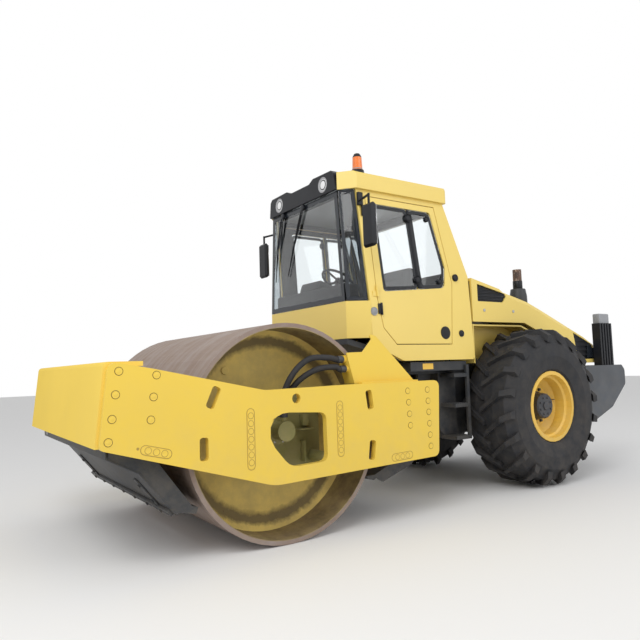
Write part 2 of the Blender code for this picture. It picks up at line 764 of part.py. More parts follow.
def counterweight():
    front = chassis_rear_station + gap
    outline = rounded([
        (front, 0.60, 0.04), (4.12, 0.545, 0.05), (4.55, 0.70, 0.08), (rear_reach, 0.96, 0.05),
        (rear_reach, 1.13, 0.05),
        (rear_reach - 0.06, weight_top, 0.03), (front, weight_top, 0.03),
    ])
    node("counterweight", slab(outline, "X", -weight_half, weight_half), "grey_iron")
    for name, side in sides:
        plan = []
        for k in range(5):
            y = 4.44 + 0.055 * k
            plan += [(post_outer, y), (post_outer, y + 0.03), (post_outer - 0.015, y + 0.03),
                     (post_outer - 0.015, y + 0.055)]
        plan += [(post_inner, 4.715), (post_inner, 4.44)]
        post = slab(plan, "Z", weight_top + gap, weight_top + 0.50)
        made = node(f"tail_post_{name}", mirrored(post, side), "black_plastic")
        cap = block((post_inner + 0.005, post_outer - 0.01), (4.46, 4.66), (weight_top + 0.49, weight_top + 0.61), 0.012)
        fuse(made, [mirrored(cap, side)])


# Engine hood: one lid, hinged along its front edge behind the cab
hood_wall = 0.025
hood_edge = 0.05
hood_front = 2.385
hood_front_height = 2.125
hinge_height = hood_front_height - 0.05
hinge_setback = 0.03
hinge_x = hood_half - 0.15
hinge_leaf_width = 0.03
hinge_eye_radius = 0.027
hinge_pin_radius = 0.012
hinge_pin_gap = 0.0008
hinge_post = 0.015
hood_hinge = joint_axis("hood_axis", 0, hood_front + hinge_setback, hinge_height)
hood_top_line = [(hood_front, hood_front_height), (2.86, 2.02), (3.28, 1.925), (3.45, 1.866), (3.72, 1.765),
                 (4.02, 1.65), (4.30, 1.545),
                 (4.50, 1.45), (4.66, 1.225)]
hood_low_line = [(4.19, 1.225), (4.11, 1.29), (4.03, 1.42), (3.85, 1.46), (3.76, 1.545), (3.42, 1.60),
                 (3.20, 1.68),
                 (hood_front, 1.68)]


def hood():
    shape = slab(hood_top_line + hood_low_line, "X", -hood_half, hood_half)
    upper = [e for e in shape.edges if e.verts[0].co.x * e.verts[1].co.x > 0 and all(
        abs(v.co.z - line_height(hood_top_line, v.co.y)) < 0.001 for v in e.verts)]
    bmesh.ops.bevel(shape, geom=upper, offset=hood_edge, segments=2, profile=0.5, affect="EDGES")
    lid = node("hood", shape, "cab_yellow", hood_hinge, False)
    inner = [(hood_front - 0.05, 1.10), (hood_front - 0.05, hood_top_line[0][1] - hood_wall)]
    inner += [(y - 0.002, z - hood_wall * 1.1) for y, z in hood_top_line[:-2]]
    tail, foot = hood_top_line[-2:]
    inner += [(tail[0] - hood_wall * 0.6, tail[1] - hood_wall), (foot[0] - hood_wall, foot[1]),
              (foot[0] - hood_wall, 1.10)]
    cavity = slab(inner, "X", -hood_half + hood_wall, hood_half - hood_wall)
    carve(lid, [cavity])
    pin = hood_front + hinge_setback, hinge_height
    for name, side in sides:
        eye = slab(ring(*pin, hinge_eye_radius), "X", hinge_x + hinge_leaf_width + gap,
                   hinge_x + 2 * hinge_leaf_width,
                   [ring(*pin, hinge_pin_radius + hinge_pin_gap)])
        fuse(lid, [mirrored(eye, side)])
    for name, side in sides:
        for label, opening, slats in side_vents:
            out = slab(opening, "X", hood_half - hood_wall - 0.02, hood_half + 0.02)
            carve(lid, [mirrored(out, side)])
            grille = node(f"{label}_{name}", mirrored(louvres(opening, slats), side), "black_plastic",
                          hood_hinge)
            trim = slab(shrunk(opening, gap), "X", hood_half - hood_wall, hood_half)
            modify(grille, [mirrored(trim, side)], "INTERSECT")


def line_height(line, station):
    for (y0, z0), (y1, z1) in zip(line, line[1:]):
        if y0 <= station <= y1:
            return z0 + (z1 - z0) * (station - y0) / (y1 - y0)
    return line[-1][1]


def louvres(opening, slats):
    # Comb of slanting slats on a back plate, as long and high as an opening
    stations, heights = zip(*opening)
    low, high = min(heights) - 0.01, max(heights) + 0.01
    step = (high - low) / slats
    comb = [(hood_half - hood_wall - 0.005, high), (hood_half - hood_wall - 0.005, low)]
    for k in range(slats):
        z = low + k * step
        comb += [(hood_half - louvre_face - louvre_depth, z), (hood_half - louvre_face, z),
                 (hood_half - louvre_face - louvre_depth, z + step * 0.55)]
    comb.append((hood_half - louvre_face - louvre_depth, high))
    return slab(comb, "Y", min(stations) - 0.01, max(stations) + 0.01)


def shrunk(outline, by):
    # Convex outline moved inwards all round
    middle = sum((Vector(p) for p in outline), Vector((0, 0))) / len(outline)
    return [tuple(Vector(p) + (middle - Vector(p)).normalized() * by * 2) for p in outline]


# Grilles in the hood's sides: name, outline (station, height), slats
louvre_face = 0.006
louvre_depth = 0.012
side_vents = [
    ("upper_grille", [(2.47, 1.89), (2.86, 1.89), (2.92, 1.96), (2.90, 1.985), (2.47, 2.07)], 6),
    ("rear_grille", [(4.15, 1.27), (4.55, 1.27), (4.53, 1.33), (4.44, 1.45), (4.08, 1.585)], 6),
]


def exhaust():
    x, y = 0.40, 3.58
    base = line_height(hood_top_line, y) + 0.004
    profile = [(base, 0), (base, 0.10), (base + 0.19, 0.095), (base + 0.28, 0.08), (base + 0.285, 0.05),
               (base + 0.52, 0.05), (base + 0.52, 0.042), (base + 0.40, 0.042), (base + 0.40, 0)]
    shape = turned(profile, "Z", (x, y, 0), 16, closed=False)
    for point in shape.verts:
        if point.co.z < base + 0.001:
            point.co.z = line_height(hood_top_line, point.co.y) + gap
    node("exhaust", shape, "rust_pipe", hood_hinge, True)


def engine():
    # Plain block in place of the engine, on the cross bed that carries it between the side plates
    inner = chassis_half_width - chassis_wall - gap
    block_shape = block((-0.33, 0.33), (2.80, 3.85), (1.05, 1.60), 0.03)
    body = node("engine", block_shape, "dark_steel")
    fuse(body, [block((-inner, inner), (2.75, 3.95), (1.035, 1.06))])


bulkhead_thickness = 0.015
arch_top = 1.655


def wheel_arches():
    # Inner walls and shelves over the wheels, joined by the bulkhead behind the cab
    inner = chassis_half_width
    low = chassis_top + gap
    front, start = hood_front, hood_front + bulkhead_thickness
    made = node("wheel_arches", block((-hood_half + 0.01, hood_half - 0.01), (front, start),
                                      (low, arch_top)), "cab_yellow")
    for name, side in sides:
        wall = slab([(start - 0.01, low), (3.98, low), (3.98, 1.40), (3.70, 1.50), (3.40, 1.575),
                     (3.18, arch_top),
                     (start - 0.01, arch_top)], "X", inner - 0.02, inner)
        shelf = slab([(start - 0.01, arch_top - 0.015), (3.17, arch_top - 0.015), (3.39, 1.56),
                      (3.69, 1.485), (3.70, 1.50),
                      (3.40, 1.575), (3.18, arch_top), (start - 0.01, arch_top)], "X", inner - 0.01,
                     hood_half - hood_wall - 0.006)
        foot, back, pin = arch_top - 0.055, hood_front + 0.001, hood_front + hinge_setback
        nose = lug_outline(hinge_post, foot, hinge_height, hinge_post, 6)[1:]
        post = slab([*[(pin + away, z) for away, z in nose], (pin - hinge_post, arch_top + 0.045),
                     (back, arch_top - 0.005), (back, foot)],
                    "X", hinge_x, hinge_x + hinge_leaf_width)
        pin_bar = rod("X", hinge_x + 0.01, hinge_x + 2 * hinge_leaf_width + 0.01, (pin, hinge_height),
                      hinge_pin_radius)
        fuse(made, [mirrored(piece, side) for piece in (wall, shelf, post, pin_bar)])


def step_box(name, side):
    # Black skirt below the cab, high enough to pass over the steered front frame, with the steps behind it
    outline = [(1.48, 1.17), (2.00, 1.17), (2.00, 0.62), (2.10, 0.52), (2.24, 0.52), (2.24, 1.285),
               (1.48, 1.285)]
    shape = slab(outline, "X", chassis_half_width + gap, 0.60)
    made = node(f"step_box_{name}", mirrored(shape, side), "black_plastic")
    top = block((0.595, cab_base_half - 0.03), (1.50, 2.24), (1.20, 1.285))
    pieces = [mirrored(top, side)]
    for z in (0.53, 0.84, 1.13):
        pieces.append(mirrored(block((0.595, cab_base_half), (2.03, 2.24), (z, z + 0.035)), side))
    pieces.append(mirrored(block((cab_base_half - 0.025, cab_base_half), (2.205, 2.24), (0.54, 1.25)),
                           side))
    fuse(made, pieces)


chassis()
axle()
counterweight()
hood()
exhaust()
engine()
wheel_arches()
for name, side in sides:
    step_box(name, side)


# Cab
def cab_half(z):
    # Outer half width at a height: the sides lean in towards the roof
    return cab_base_half - cab_lean * (z - cab_floor_low)


def leaned(shape, side):
    # Slants an upright plate with the cab's side
    for point in shape.verts:
        point.co.x -= cab_lean * (point.co.z - cab_floor_low)
    return mirrored(shape, side)


def between_sides(shape):
    # Brings the ends of a profile to the cab's slanting sides
    for point in shape.verts:
        point.co.x = math.copysign(cab_half(point.co.z) - cab_wall - gap, point.co.x)
    return shape


door_gap = 0.006
door_corners = [(1.075, 2.80), (1.14, 1.86), (1.19, 1.60), (1.33, 1.455), (2.03, 1.455), (2.10, 2.05),
                (1.93, 2.80)]
aperture_corners = [(1.067, 2.808), (1.133, 1.86), (1.183, 1.597), (1.327, 1.447), (2.038, 1.447),
                    (2.108, 2.05), (1.937, 2.808)]
window_opening = [(1.145, 2.745, 0.03), (1.215, 1.93, 0.03), (2.00, 2.00, 0.06), (2.025, 2.20, 0.03),
                  (1.875, 2.745, 0.03)]
cab_outline = [
    (0.975, cab_eaves, 0), (1.05, cab_sill, 0), (1.05, 1.45, 0), (1.40, cab_floor_low, 0.04),
    (2.34, cab_floor_low, 0.03),
    (2.34, 2.13, 0.05), (2.06, cab_eaves, 0),
]
knuckle_radius = 0.011
knuckle_length = 0.05
knuckle_heights = (1.88, 2.62)


def hinge_place(z):
    # Point of the left door's hinge line at a height
    lean = (door_corners[0][0] - door_corners[1][0]) / (door_corners[0][1] - door_corners[1][1])
    return Vector((cab_half(z) + 0.0125, door_corners[1][0] - 0.0035 + lean * (z - door_corners[1][1]), z))


def knuckle(z, start, end):
    # Stretch of the hinge's barrel, measured along the slanting axis
    low, high = hinge_place(z), hinge_place(z + 1)
    shape = rod("Z", start, end, (0, 0), knuckle_radius)
    turn = Vector((0, 0, 1)).rotation_difference((high - low).normalized()).to_matrix().to_4x4()
    shape.transform(Matrix.Translation(low) @ turn)
    return shape


def hinge_leaf(z, start, end, towards):
    # Flat leaf that joins a knuckle to its panel
    place = hinge_place(z + (start + end) / 2)
    low, high = sorted((place.y + math.copysign(0.0045, towards), place.y + towards))
    return block((place.x - 0.016, place.x - 0.006), (low, high), (z + start + 0.002, z + end - 0.002))


def cab_side(name, side):
    shape = slab(rounded(cab_outline), "X", cab_base_half - cab_wall, cab_base_half, [aperture_corners])
    made = node(f"cab_side_{name}", leaned(shape, side), "cab_yellow")
    pieces = []
    for z in knuckle_heights:
        pieces.append(mirrored(knuckle(z, 0, knuckle_length), side))
        pieces.append(mirrored(hinge_leaf(z, 0, knuckle_length, -0.05), side))
    fuse(made, pieces)


def door(name, side):
    base = hinge_place(2.2)
    axis = joint_axis(f"door_axis_{name}", side * base.x, base.y, base.z)
    shape = slab(door_corners, "X", cab_base_half - door_thickness, cab_base_half,
                 [rounded(window_opening)])
    made = node(f"door_{name}", leaned(shape, side), "cab_yellow", axis)
    pieces = [leaned(slab([(1.575, 2.76), (1.655, 1.95), (1.685, 1.95), (1.605, 2.76)], "X",
                          cab_base_half - door_thickness, cab_base_half - 0.022), side)]
    for z in knuckle_heights:
        pieces.append(mirrored(knuckle(z, knuckle_length + 0.0005, 2 * knuckle_length), side))
        pieces.append(mirrored(hinge_leaf(z, knuckle_length + 0.0005, 2 * knuckle_length, 0.05), side))
    fuse(made, pieces)
    pane_outline = shrunk_loop(rounded(window_opening), 0.001)
    glass = slab(pane_outline, "X", cab_base_half - 0.020, cab_base_half - 0.012)
    node(f"door_glass_{name}", leaned(glass, side), "glass", axis)


def shrunk_loop(loop, by):
    # Outline scaled a little about its middle
    middle = sum((Vector(p) for p in loop), Vector((0, 0))) / len(loop)
    return [tuple(middle + (Vector(p) - middle) * (1 - by / (Vector(p) - middle).length)) for p in loop]


glass_corner_low = cab_base_half - corner_inset_low
glass_corner_high = cab_base_half - corner_inset_high
visor_half = glass_corner_high + 0.009


def pane(corners, thickness):
    # Flat pane from four corners; thickness goes to the side that the corners turn about
    shape = bmesh.new()
    points = [Vector(c) for c in corners]
    normal = (points[1] - points[0]).cross(points[3] - points[0]).normalized()
    front = [shape.verts.new(p) for p in points]
    back = [shape.verts.new(p + normal * thickness) for p in points]
    shape.faces.new(front)
    shape.faces.new(reversed(back))
    for i in range(4):
        shape.faces.new((front[i - 1], front[i], back[i], back[i - 1]))
    bmesh.ops.recalc_face_normals(shape, faces=shape.faces)
    return shape


# The floor rises to the toe board's front edge
toe_station = 0.86
toe_height = 1.46
heel_station = 1.41
cab_mount_stations = (1.92, 2.28)
cab_mount_radius = 0.028


def floor_top(station):
    share = max(0, (heel_station - station) / (heel_station - toe_station))
    return cab_floor_low + cab_floor_thickness + share * (toe_height - cab_floor_low)


def cab_shell():
    half_low = cab_half(1.67)
    front = cab_front_station
    plan = [(-half_low, 1.05 - gap), (-glass_corner_low, front), (glass_corner_low, front),
            (half_low, 1.05 - gap),
            (half_low - 0.06, 1.05 - gap), (glass_corner_low - 0.03, front + 0.04),
            (-glass_corner_low + 0.03, front + 0.04),
            (-half_low + 0.06, 1.05 - gap)]
    node("cab_front", slab(plan, "Z", toe_height + cab_floor_thickness + gap, cab_sill), "cab_yellow")
    floor_outline = [(toe_station, toe_height), (heel_station, cab_floor_low), (2.34, cab_floor_low),
                     (2.34, cab_floor_low + cab_floor_thickness),
                     (heel_station, cab_floor_low + cab_floor_thickness),
                     (toe_station, toe_height + cab_floor_thickness)]
    floor = between_sides(slab(floor_outline, "X", -0.5, 0.5))
    for point in floor.verts:
        if point.co.y < toe_station + 0.001:
            point.co.x = math.copysign(glass_corner_low - 0.005, point.co.x)
    made = node("cab_floor", floor, "dark_steel")
    fuse(made, [rod("Z", chassis_top + gap, cab_floor_low + 0.01,
                    (side * (chassis_half_width - chassis_wall), y), cab_mount_radius, 10)
                for side in (1, -1) for y in cab_mount_stations])
    low = cab_floor_low + cab_floor_thickness + gap
    wall_outline = [(2.34, low), (2.34, 2.13), (2.06, cab_eaves), (2.01, cab_eaves), (2.29, 2.13),
                    (2.29, low)]
    rear = node("cab_rear_wall", between_sides(slab(wall_outline, "X", -0.5, 0.5)), "cab_yellow")
    carve(rear, [slab([(-0.55, 2.20), (0.55, 2.20), (0.52, 2.78), (-0.52, 2.78)], "Y", 1.9, 2.5)])
    slope = (2.06 - 2.34) / (cab_eaves - 2.13)
    corners = [(-0.545, 2.20), (0.545, 2.20), (0.515, 2.78), (-0.515, 2.78)]
    corners = [(x, 2.34 + slope * (z - 2.13) - 0.030, z + (0.003 if z < 2.5 else -0.003)) for x,
               z in corners]
    node("rear_window", pane(corners, glass_thickness), "glass")
    low, high = cab_sill + gap, cab_eaves
    corners = [(-glass_corner_low + 0.004, front, low), (glass_corner_low - 0.004, front, low),
               (glass_corner_high - 0.004, front, high), (-glass_corner_high + 0.004, front, high)]
    node("windshield", pane(corners, -glass_thickness), "glass")
    for name, side in sides:
        low = cab_sill + 3 * gap
        corners = [(glass_corner_low + 0.004, front + 0.006, low), (cab_half(low) - 0.012, 1.05 - 0.012,
                                                                    low),
                   (cab_half(high) - 0.012, 0.975 - 0.008, high), (glass_corner_high + 0.004, front + 0.006,
                                                                   high)]
        node(f"corner_glass_{name}", mirrored(pane(corners, -glass_thickness), side), "glass")


visor_rise = 0.035


def roof():
    eaves = cab_eaves + gap
    half = cab_half(cab_eaves) + 0.03
    notch = visor_half + 0.004
    plan = [(-notch, 1.02), (-notch, 0.845), (-half, 0.965), (-half, 2.10), (half, 2.10), (half, 0.965),
            (notch, 0.845),
            (notch, 1.02)]
    shape = slab(rounded([(x, y, 0.03 if y > 2 else 0) for x, y in plan]), "Z", eaves, roof_top)
    edges = [e for e in shape.edges if min(e.verts[0].co.z, e.verts[1].co.z) > roof_top - 0.001
             and all(abs(v.co.x) > notch + 0.01 or v.co.y > 1.1 for v in e.verts)
             and len(e.link_faces) == 2 and e.calc_face_angle() > 1]
    bmesh.ops.bevel(shape, geom=edges, offset=0.03, segments=2, profile=0.5, affect="EDGES")
    node("roof", shape, "cab_yellow")
    top = roof_top + visor_rise
    visor_outline = [(visor_half, eaves), (visor_half - 0.021, roof_top), (visor_half - 0.056, top - 0.005),
                     (0.24, top),
                     (0.17, roof_top)]
    visor_outline += [(-x, z) for x, z in reversed(visor_outline)]
    visor = node("roof_visor", slab(visor_outline, "Y", 0.825, 1.02 - gap), "black_plastic")
    for name, side in sides:
        x, z = side * (visor_half - 0.196), roof_top - 0.065
        carve(visor, [rod("Y", 0.80, 0.845, (x, z), 0.075, 16)])
        fuse(visor, [turned([(0.832, 0), (0.828, 0.045), (0.838, 0.066), (0.85, 0.066), (0.85, 0)],
                            "Y", (x, 0, z), 16, closed=False)])
    beacon_profile = [(roof_top + gap, 0), (roof_top + gap, 0.055), (roof_top + 0.075, 0.055),
                      (roof_top + 0.08, 0.048),
                      (roof_top + 0.19, 0.044), (roof_top + 0.225, 0.03), (roof_top + 0.235, 0)]
    node("beacon", turned(beacon_profile, "Z", (visor_half - 0.036, 1.12, 0), 16, closed=False), "amber",
         None, True)


def cab_inside():
    floor = cab_floor_low + cab_floor_thickness + gap
    base = node("seat", block((-0.20, 0.20), (1.55, 1.92), (floor, floor + 0.28), 0.02), "seat_vinyl")
    cushion = block((-0.25, 0.25), (1.47, 1.96), (floor + 0.27, floor + 0.42), 0.05, 2)
    back = block((-0.24, 0.24), (-0.06, 0.06), (0, 0.60), 0.05, 2)
    back.transform(Matrix.Translation((0, 1.95, floor + 0.36)) @ Matrix.Rotation(math.radians(-12), 4, "X"))
    fuse(base, [cushion, back])
    console_outline = [(1.02, floor_top(1.02) + gap), (1.22, floor_top(1.22) + gap), (1.16, 1.78),
                       (1.22, 1.98), (1.12, 2.03), (1.00, 1.90)]
    console = node("console", slab(console_outline, "X", -0.20, 0.20), "black_plastic")
    column = rod("Z", -0.02, 0.18, (0, 0), 0.025, 10)
    tilt = Matrix.Translation((0, 1.17, 1.97)) @ Matrix.Rotation(math.radians(-35), 4, "X")
    column.transform(tilt)
    fuse(console, [column])
    wheel = turned([(math.sin(2 * math.pi * k / 6) * 0.013,
                     0.19 + math.cos(2 * math.pi * k / 6) * 0.013) for k in range(6)],
                   "Z", (0, 0, 0), 20)
    wheel.transform(tilt @ Matrix.Translation((0, 0, 0.19)))
    boss = rod("Z", -0.03, 0.022, (0, 0), 0.045)
    spokes = [block((-0.185, 0.185), (-0.014, 0.014), (-0.004, 0.005)),
              block((-0.013, 0.013), (-0.186, 0.003), (-0.005, 0.004)), boss]
    for piece in spokes:
        piece.transform(tilt @ Matrix.Translation((0, 0, 0.19)))
    fuse(console, [wheel, *spokes])


def mirror(name, side):
    head = block((cab_base_half + 0.07, cab_base_half + 0.23), (0.905, 0.955), (2.28, 2.66), 0.02)
    made = node(f"mirror_{name}", mirrored(head, side), "black_plastic")
    arm = rod("X", 0, 0.23, (0, 0), 0.011, 8)
    arm.transform(Matrix.Translation((cab_half(2.74) + 0.002, 0.99,
                                      2.74)) @ Matrix.Rotation(math.radians(-14), 4, "Z"))
    stem = rod("Z", 2.60, 2.75, (cab_base_half + 0.145, 0.935), 0.011, 8)
    fuse(made, [mirrored(arm, side), mirrored(stem, side)])


cab_shell()
for name, side in sides:
    cab_side(name, side)
    door(name, side)
    mirror(name, side)
roof()
cab_inside()
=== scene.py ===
# Articulated single drum roller: finishes, fittings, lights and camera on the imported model.
import json
import math
import bpy
from mathutils import Matrix, Vector

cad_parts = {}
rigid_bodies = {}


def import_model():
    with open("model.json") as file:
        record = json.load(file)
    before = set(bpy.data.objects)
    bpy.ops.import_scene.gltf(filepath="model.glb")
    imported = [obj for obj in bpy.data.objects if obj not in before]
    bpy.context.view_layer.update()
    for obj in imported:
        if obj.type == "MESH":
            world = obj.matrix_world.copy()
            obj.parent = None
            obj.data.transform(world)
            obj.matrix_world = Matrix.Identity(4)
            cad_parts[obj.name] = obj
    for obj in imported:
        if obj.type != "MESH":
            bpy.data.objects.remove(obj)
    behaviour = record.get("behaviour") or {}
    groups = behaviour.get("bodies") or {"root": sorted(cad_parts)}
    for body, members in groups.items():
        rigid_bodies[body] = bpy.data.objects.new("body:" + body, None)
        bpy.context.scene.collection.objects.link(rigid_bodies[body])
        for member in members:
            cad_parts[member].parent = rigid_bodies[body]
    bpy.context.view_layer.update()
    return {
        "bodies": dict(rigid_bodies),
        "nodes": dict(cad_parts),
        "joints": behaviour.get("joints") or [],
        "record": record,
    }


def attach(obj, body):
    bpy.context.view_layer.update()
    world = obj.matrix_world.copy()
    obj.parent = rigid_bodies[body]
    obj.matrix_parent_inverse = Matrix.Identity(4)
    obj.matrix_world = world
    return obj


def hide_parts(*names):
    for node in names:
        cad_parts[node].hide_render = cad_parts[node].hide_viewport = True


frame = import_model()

drumStation = -1.734  # the drum's axis along Y; places below are given as distances behind it
drumHeight = 0.8
cabSide = {"half": 0.79, "height": 1.30, "lean": 0.052, "wall": 0.036, "screen": 0.895}  # half width at a height
sides = {"left": 1, "right": -1}


def at(x, behind, z):
    return (x, behind + drumStation, z)


# Camera at the photo's viewing angle
cameraSetup = {
    "place": at(4.865, -2.28, 1.254),
    "aim": at(-1.732, 2.200, 1.901),
    "roll": -0.031,
    "lens": 33.6,
    "sensor": 36,
    "reach": 200,
}


def addCamera():
    data = bpy.data.cameras.new("photoCamera")
    data.lens = cameraSetup["lens"]
    data.sensor_width = cameraSetup["sensor"]
    data.clip_end = cameraSetup["reach"]
    camera = bpy.data.objects.new("photoCamera", data)
    bpy.context.collection.objects.link(camera)
    place = Vector(cameraSetup["place"])
    look = (Vector(cameraSetup["aim"]) - place).to_track_quat("-Z", "Y").to_matrix().to_4x4()
    camera.matrix_world = Matrix.Translation(place) @ look @ Matrix.Rotation(cameraSetup["roll"], 4, "Z")
    bpy.context.scene.camera = camera


addCamera()
print("camera set")


# Shared effects for the finishes
def newGroup(name, inputs, outputs):  # an input with four numbers is a colour, any other a value
    group = bpy.data.node_groups.new(name, "ShaderNodeTree")
    for label, value in inputs.items():
        kind = "NodeSocketColor" if isinstance(value, tuple) else "NodeSocketFloat"
        group.interface.new_socket(name=label, in_out="INPUT", socket_type=kind).default_value = value
    for label in outputs:
        kind = "NodeSocketColor" if label == "Color" else "NodeSocketFloat"
        group.interface.new_socket(name=label, in_out="OUTPUT", socket_type=kind)
    return group, group.nodes.new("NodeGroupInput"), group.nodes.new("NodeGroupOutput")


def mathNode(tree, operation, a, b=None, clamp=False):
    node = tree.nodes.new("ShaderNodeMath")
    node.operation = operation
    node.use_clamp = clamp
    for socket, value in zip(node.inputs, (a, b)):
        if isinstance(value, (int, float)):
            socket.default_value = value
        elif value is not None:
            tree.links.new(value, socket)
    return node.outputs[0]


def rangeNode(tree, value, low, high, outHigh=1.0):
    node = tree.nodes.new("ShaderNodeMapRange")
    node.inputs["From Min"].default_value = low
    node.inputs["From Max"].default_value = high
    node.inputs["To Max"].default_value = outHigh
    tree.links.new(value, node.inputs["Value"])
    return node.outputs["Result"]


def mixColours(tree, mask, first, second):
    node = tree.nodes.new("ShaderNodeMix")
    node.data_type = "RGBA"
    for socket, value in ((node.inputs[0], mask), (node.inputs[6], first), (node.inputs[7], second)):
        if isinstance(value, tuple):
            socket.default_value = (*value, 1)
        else:
            tree.links.new(value, socket)
    return node.outputs[2]


def objectPlace(tree):
    return tree.nodes.new("ShaderNodeTexCoord").outputs["Object"]


def splitVector(tree, value):
    node = tree.nodes.new("ShaderNodeSeparateXYZ")
    tree.links.new(value, node.inputs[0])
    return node.outputs


def surfaceNormal(tree):
    return splitVector(tree, tree.nodes.new("ShaderNodeNewGeometry").outputs["Normal"])


def noiseNode(tree, scale, detail, rough, stretch=None):
    place = objectPlace(tree)
    if stretch:
        mapping = tree.nodes.new("ShaderNodeMapping")
        mapping.inputs["Scale"].default_value = stretch
        tree.links.new(place, mapping.inputs["Vector"])
        place = mapping.outputs["Vector"]
    node = tree.nodes.new("ShaderNodeTexNoise")
    node.inputs["Detail"].default_value = detail
    node.inputs["Roughness"].default_value = rough
    tree.links.new(place, node.inputs["Vector"])
    if isinstance(scale, (int, float)):
        node.inputs["Scale"].default_value = scale
    else:
        tree.links.new(scale, node.inputs["Scale"])
    return node.outputs["Fac"]


plainGrey = (0.8, 0.8, 0.8, 1)


def linkMix(group, start, end, mask, second):  # the group's colour, mixed by the mask with its second colour
    colour = mixColours(group, mask, start.outputs["Color"], start.outputs[second])
    group.links.new(colour, end.inputs["Color"])


def makeDust():  # dust that lies on upward faces and near the ground
    inputs = {"Color": plainGrey, "Dust Color": (0.45, 0.38, 0.28, 1), "Amount": 0.3, "Scale": 6.0, "Reach": 1.2}
    group, start, end = newGroup("groundDust", inputs, ("Color", "Mask"))
    cloud = rangeNode(group, noiseNode(group, start.outputs["Scale"], 6, 0.65), 0.35, 0.70)
    up = rangeNode(group, surfaceNormal(group)["Z"], 0.25, 0.95, 0.8)
    height = splitVector(group, objectPlace(group))["Z"]
    low = mathNode(group, "SUBTRACT", 1.0, mathNode(group, "DIVIDE", height, start.outputs["Reach"]), True)
    where = mathNode(group, "ADD", mathNode(group, "MAXIMUM", up, low), 0.12, True)
    mask = mathNode(group, "MULTIPLY", mathNode(group, "MULTIPLY", where, cloud), start.outputs["Amount"], True)
    linkMix(group, start, end, mask, "Dust Color")
    group.links.new(mask, end.inputs["Mask"])
    return group


def makeWear():  # small chips and scratches that show what lies under the paint
    inputs = {"Color": plainGrey, "Under Color": (0.1, 0.08, 0.07, 1), "Amount": 0.3, "Scale": 30.0}
    group, start, end = newGroup("chippedPaint", inputs, ("Color", "Mask"))
    fine = mathNode(group, "MULTIPLY", noiseNode(group, start.outputs["Scale"], 8, 0.7), 0.7)
    broad = mathNode(group, "MULTIPLY", noiseNode(group, 2.3, 3, 0.5), 0.3)
    level = mathNode(group, "ADD", fine, broad)
    edge = mathNode(group, "SUBTRACT", 0.72, mathNode(group, "MULTIPLY", start.outputs["Amount"], 0.2))
    mask = mathNode(group, "MULTIPLY", mathNode(group, "SUBTRACT", level, edge), 40.0, True)
    linkMix(group, start, end, mask, "Under Color")
    group.links.new(mask, end.inputs["Mask"])
    return group


def makeShade():  # slow change of tone over a panel
    inputs = {"Color": plainGrey, "Second Color": (0.7, 0.6, 0.4, 1), "Amount": 0.5, "Scale": 1.2}
    group, start, end = newGroup("toneShift", inputs, ("Color",))
    cloud = rangeNode(group, noiseNode(group, start.outputs["Scale"], 3, 0.5), 0.35, 0.65)
    mask = mathNode(group, "MULTIPLY", cloud, start.outputs["Amount"], True)
    linkMix(group, start, end, mask, "Second Color")
    return group


def makeGrain():  # height of a fine surface grain
    inputs = {"Fine Scale": 200.0, "Broad Scale": 8.0, "Broad Share": 0.3}
    group, start, end = newGroup("surfaceGrain", inputs, ("Height",))
    fine = noiseNode(group, start.outputs["Fine Scale"], 3, 0.6)
    broad = noiseNode(group, start.outputs["Broad Scale"], 3, 0.5)
    total = mathNode(group, "ADD", fine, mathNode(group, "MULTIPLY", broad, start.outputs["Broad Share"]))
    group.links.new(total, end.inputs["Height"])
    return group


groundDust, chippedPaint, toneShift, surfaceGrain = makeDust(), makeWear(), makeShade(), makeGrain()


class Finish:  # a material under construction: each call adds a layer over what feeds the colour
    def __init__(self, name, colour, rough, metal=0.0):
        self.material = bpy.data.materials.new(name)
        self.material.use_nodes = True
        self.tree = self.material.node_tree
        self.shader = self.tree.nodes["Principled BSDF"]
        self.shader.inputs["Base Color"].default_value = (*colour, 1)
        self.shader.inputs["Roughness"].default_value = rough
        self.shader.inputs["Metallic"].default_value = metal
        self.colour = None
        self.flat = (*colour, 1)
        self.rough = rough
        self.masks = []

    def layer(self, group, values, roughTo=None):
        node = self.tree.nodes.new("ShaderNodeGroup")
        node.node_tree = group
        if self.colour:
            self.tree.links.new(self.colour, node.inputs["Color"])
        else:
            node.inputs["Color"].default_value = self.flat
        for label, value in values.items():
            node.inputs[label].default_value = (*value, 1) if isinstance(value, tuple) else value
        self.colour = node.outputs["Color"]
        if roughTo is not None:
            self.masks.append((node.outputs["Mask"], roughTo))
        return self

    def grain(self, fine, broad, share, strength, distance=0.001):
        node = self.tree.nodes.new("ShaderNodeGroup")
        node.node_tree = surfaceGrain
        for label, value in (("Fine Scale", fine), ("Broad Scale", broad), ("Broad Share", share)):
            node.inputs[label].default_value = value
        bump = self.tree.nodes.new("ShaderNodeBump")
        bump.inputs["Strength"].default_value = strength
        bump.inputs["Distance"].default_value = distance
        self.tree.links.new(node.outputs["Height"], bump.inputs["Height"])
        self.tree.links.new(bump.outputs["Normal"], self.shader.inputs["Normal"])
        return self

    def done(self, **sockets):
        if self.colour:
            self.tree.links.new(self.colour, self.shader.inputs["Base Color"])
        rough = self.rough
        for mask, roughTo in self.masks:
            node = self.tree.nodes.new("ShaderNodeMix")
            node.inputs[3].default_value = roughTo
            self.tree.links.new(mask, node.inputs[0])
            if isinstance(rough, float):
                node.inputs[2].default_value = rough
            else:
                self.tree.links.new(rough, node.inputs[2])
            rough = node.outputs[0]
        if not isinstance(rough, float):
            self.tree.links.new(rough, self.shader.inputs["Roughness"])
        for label, value in sockets.items():
            self.shader.inputs[label.replace("_", " ")].default_value = value
        return self.material


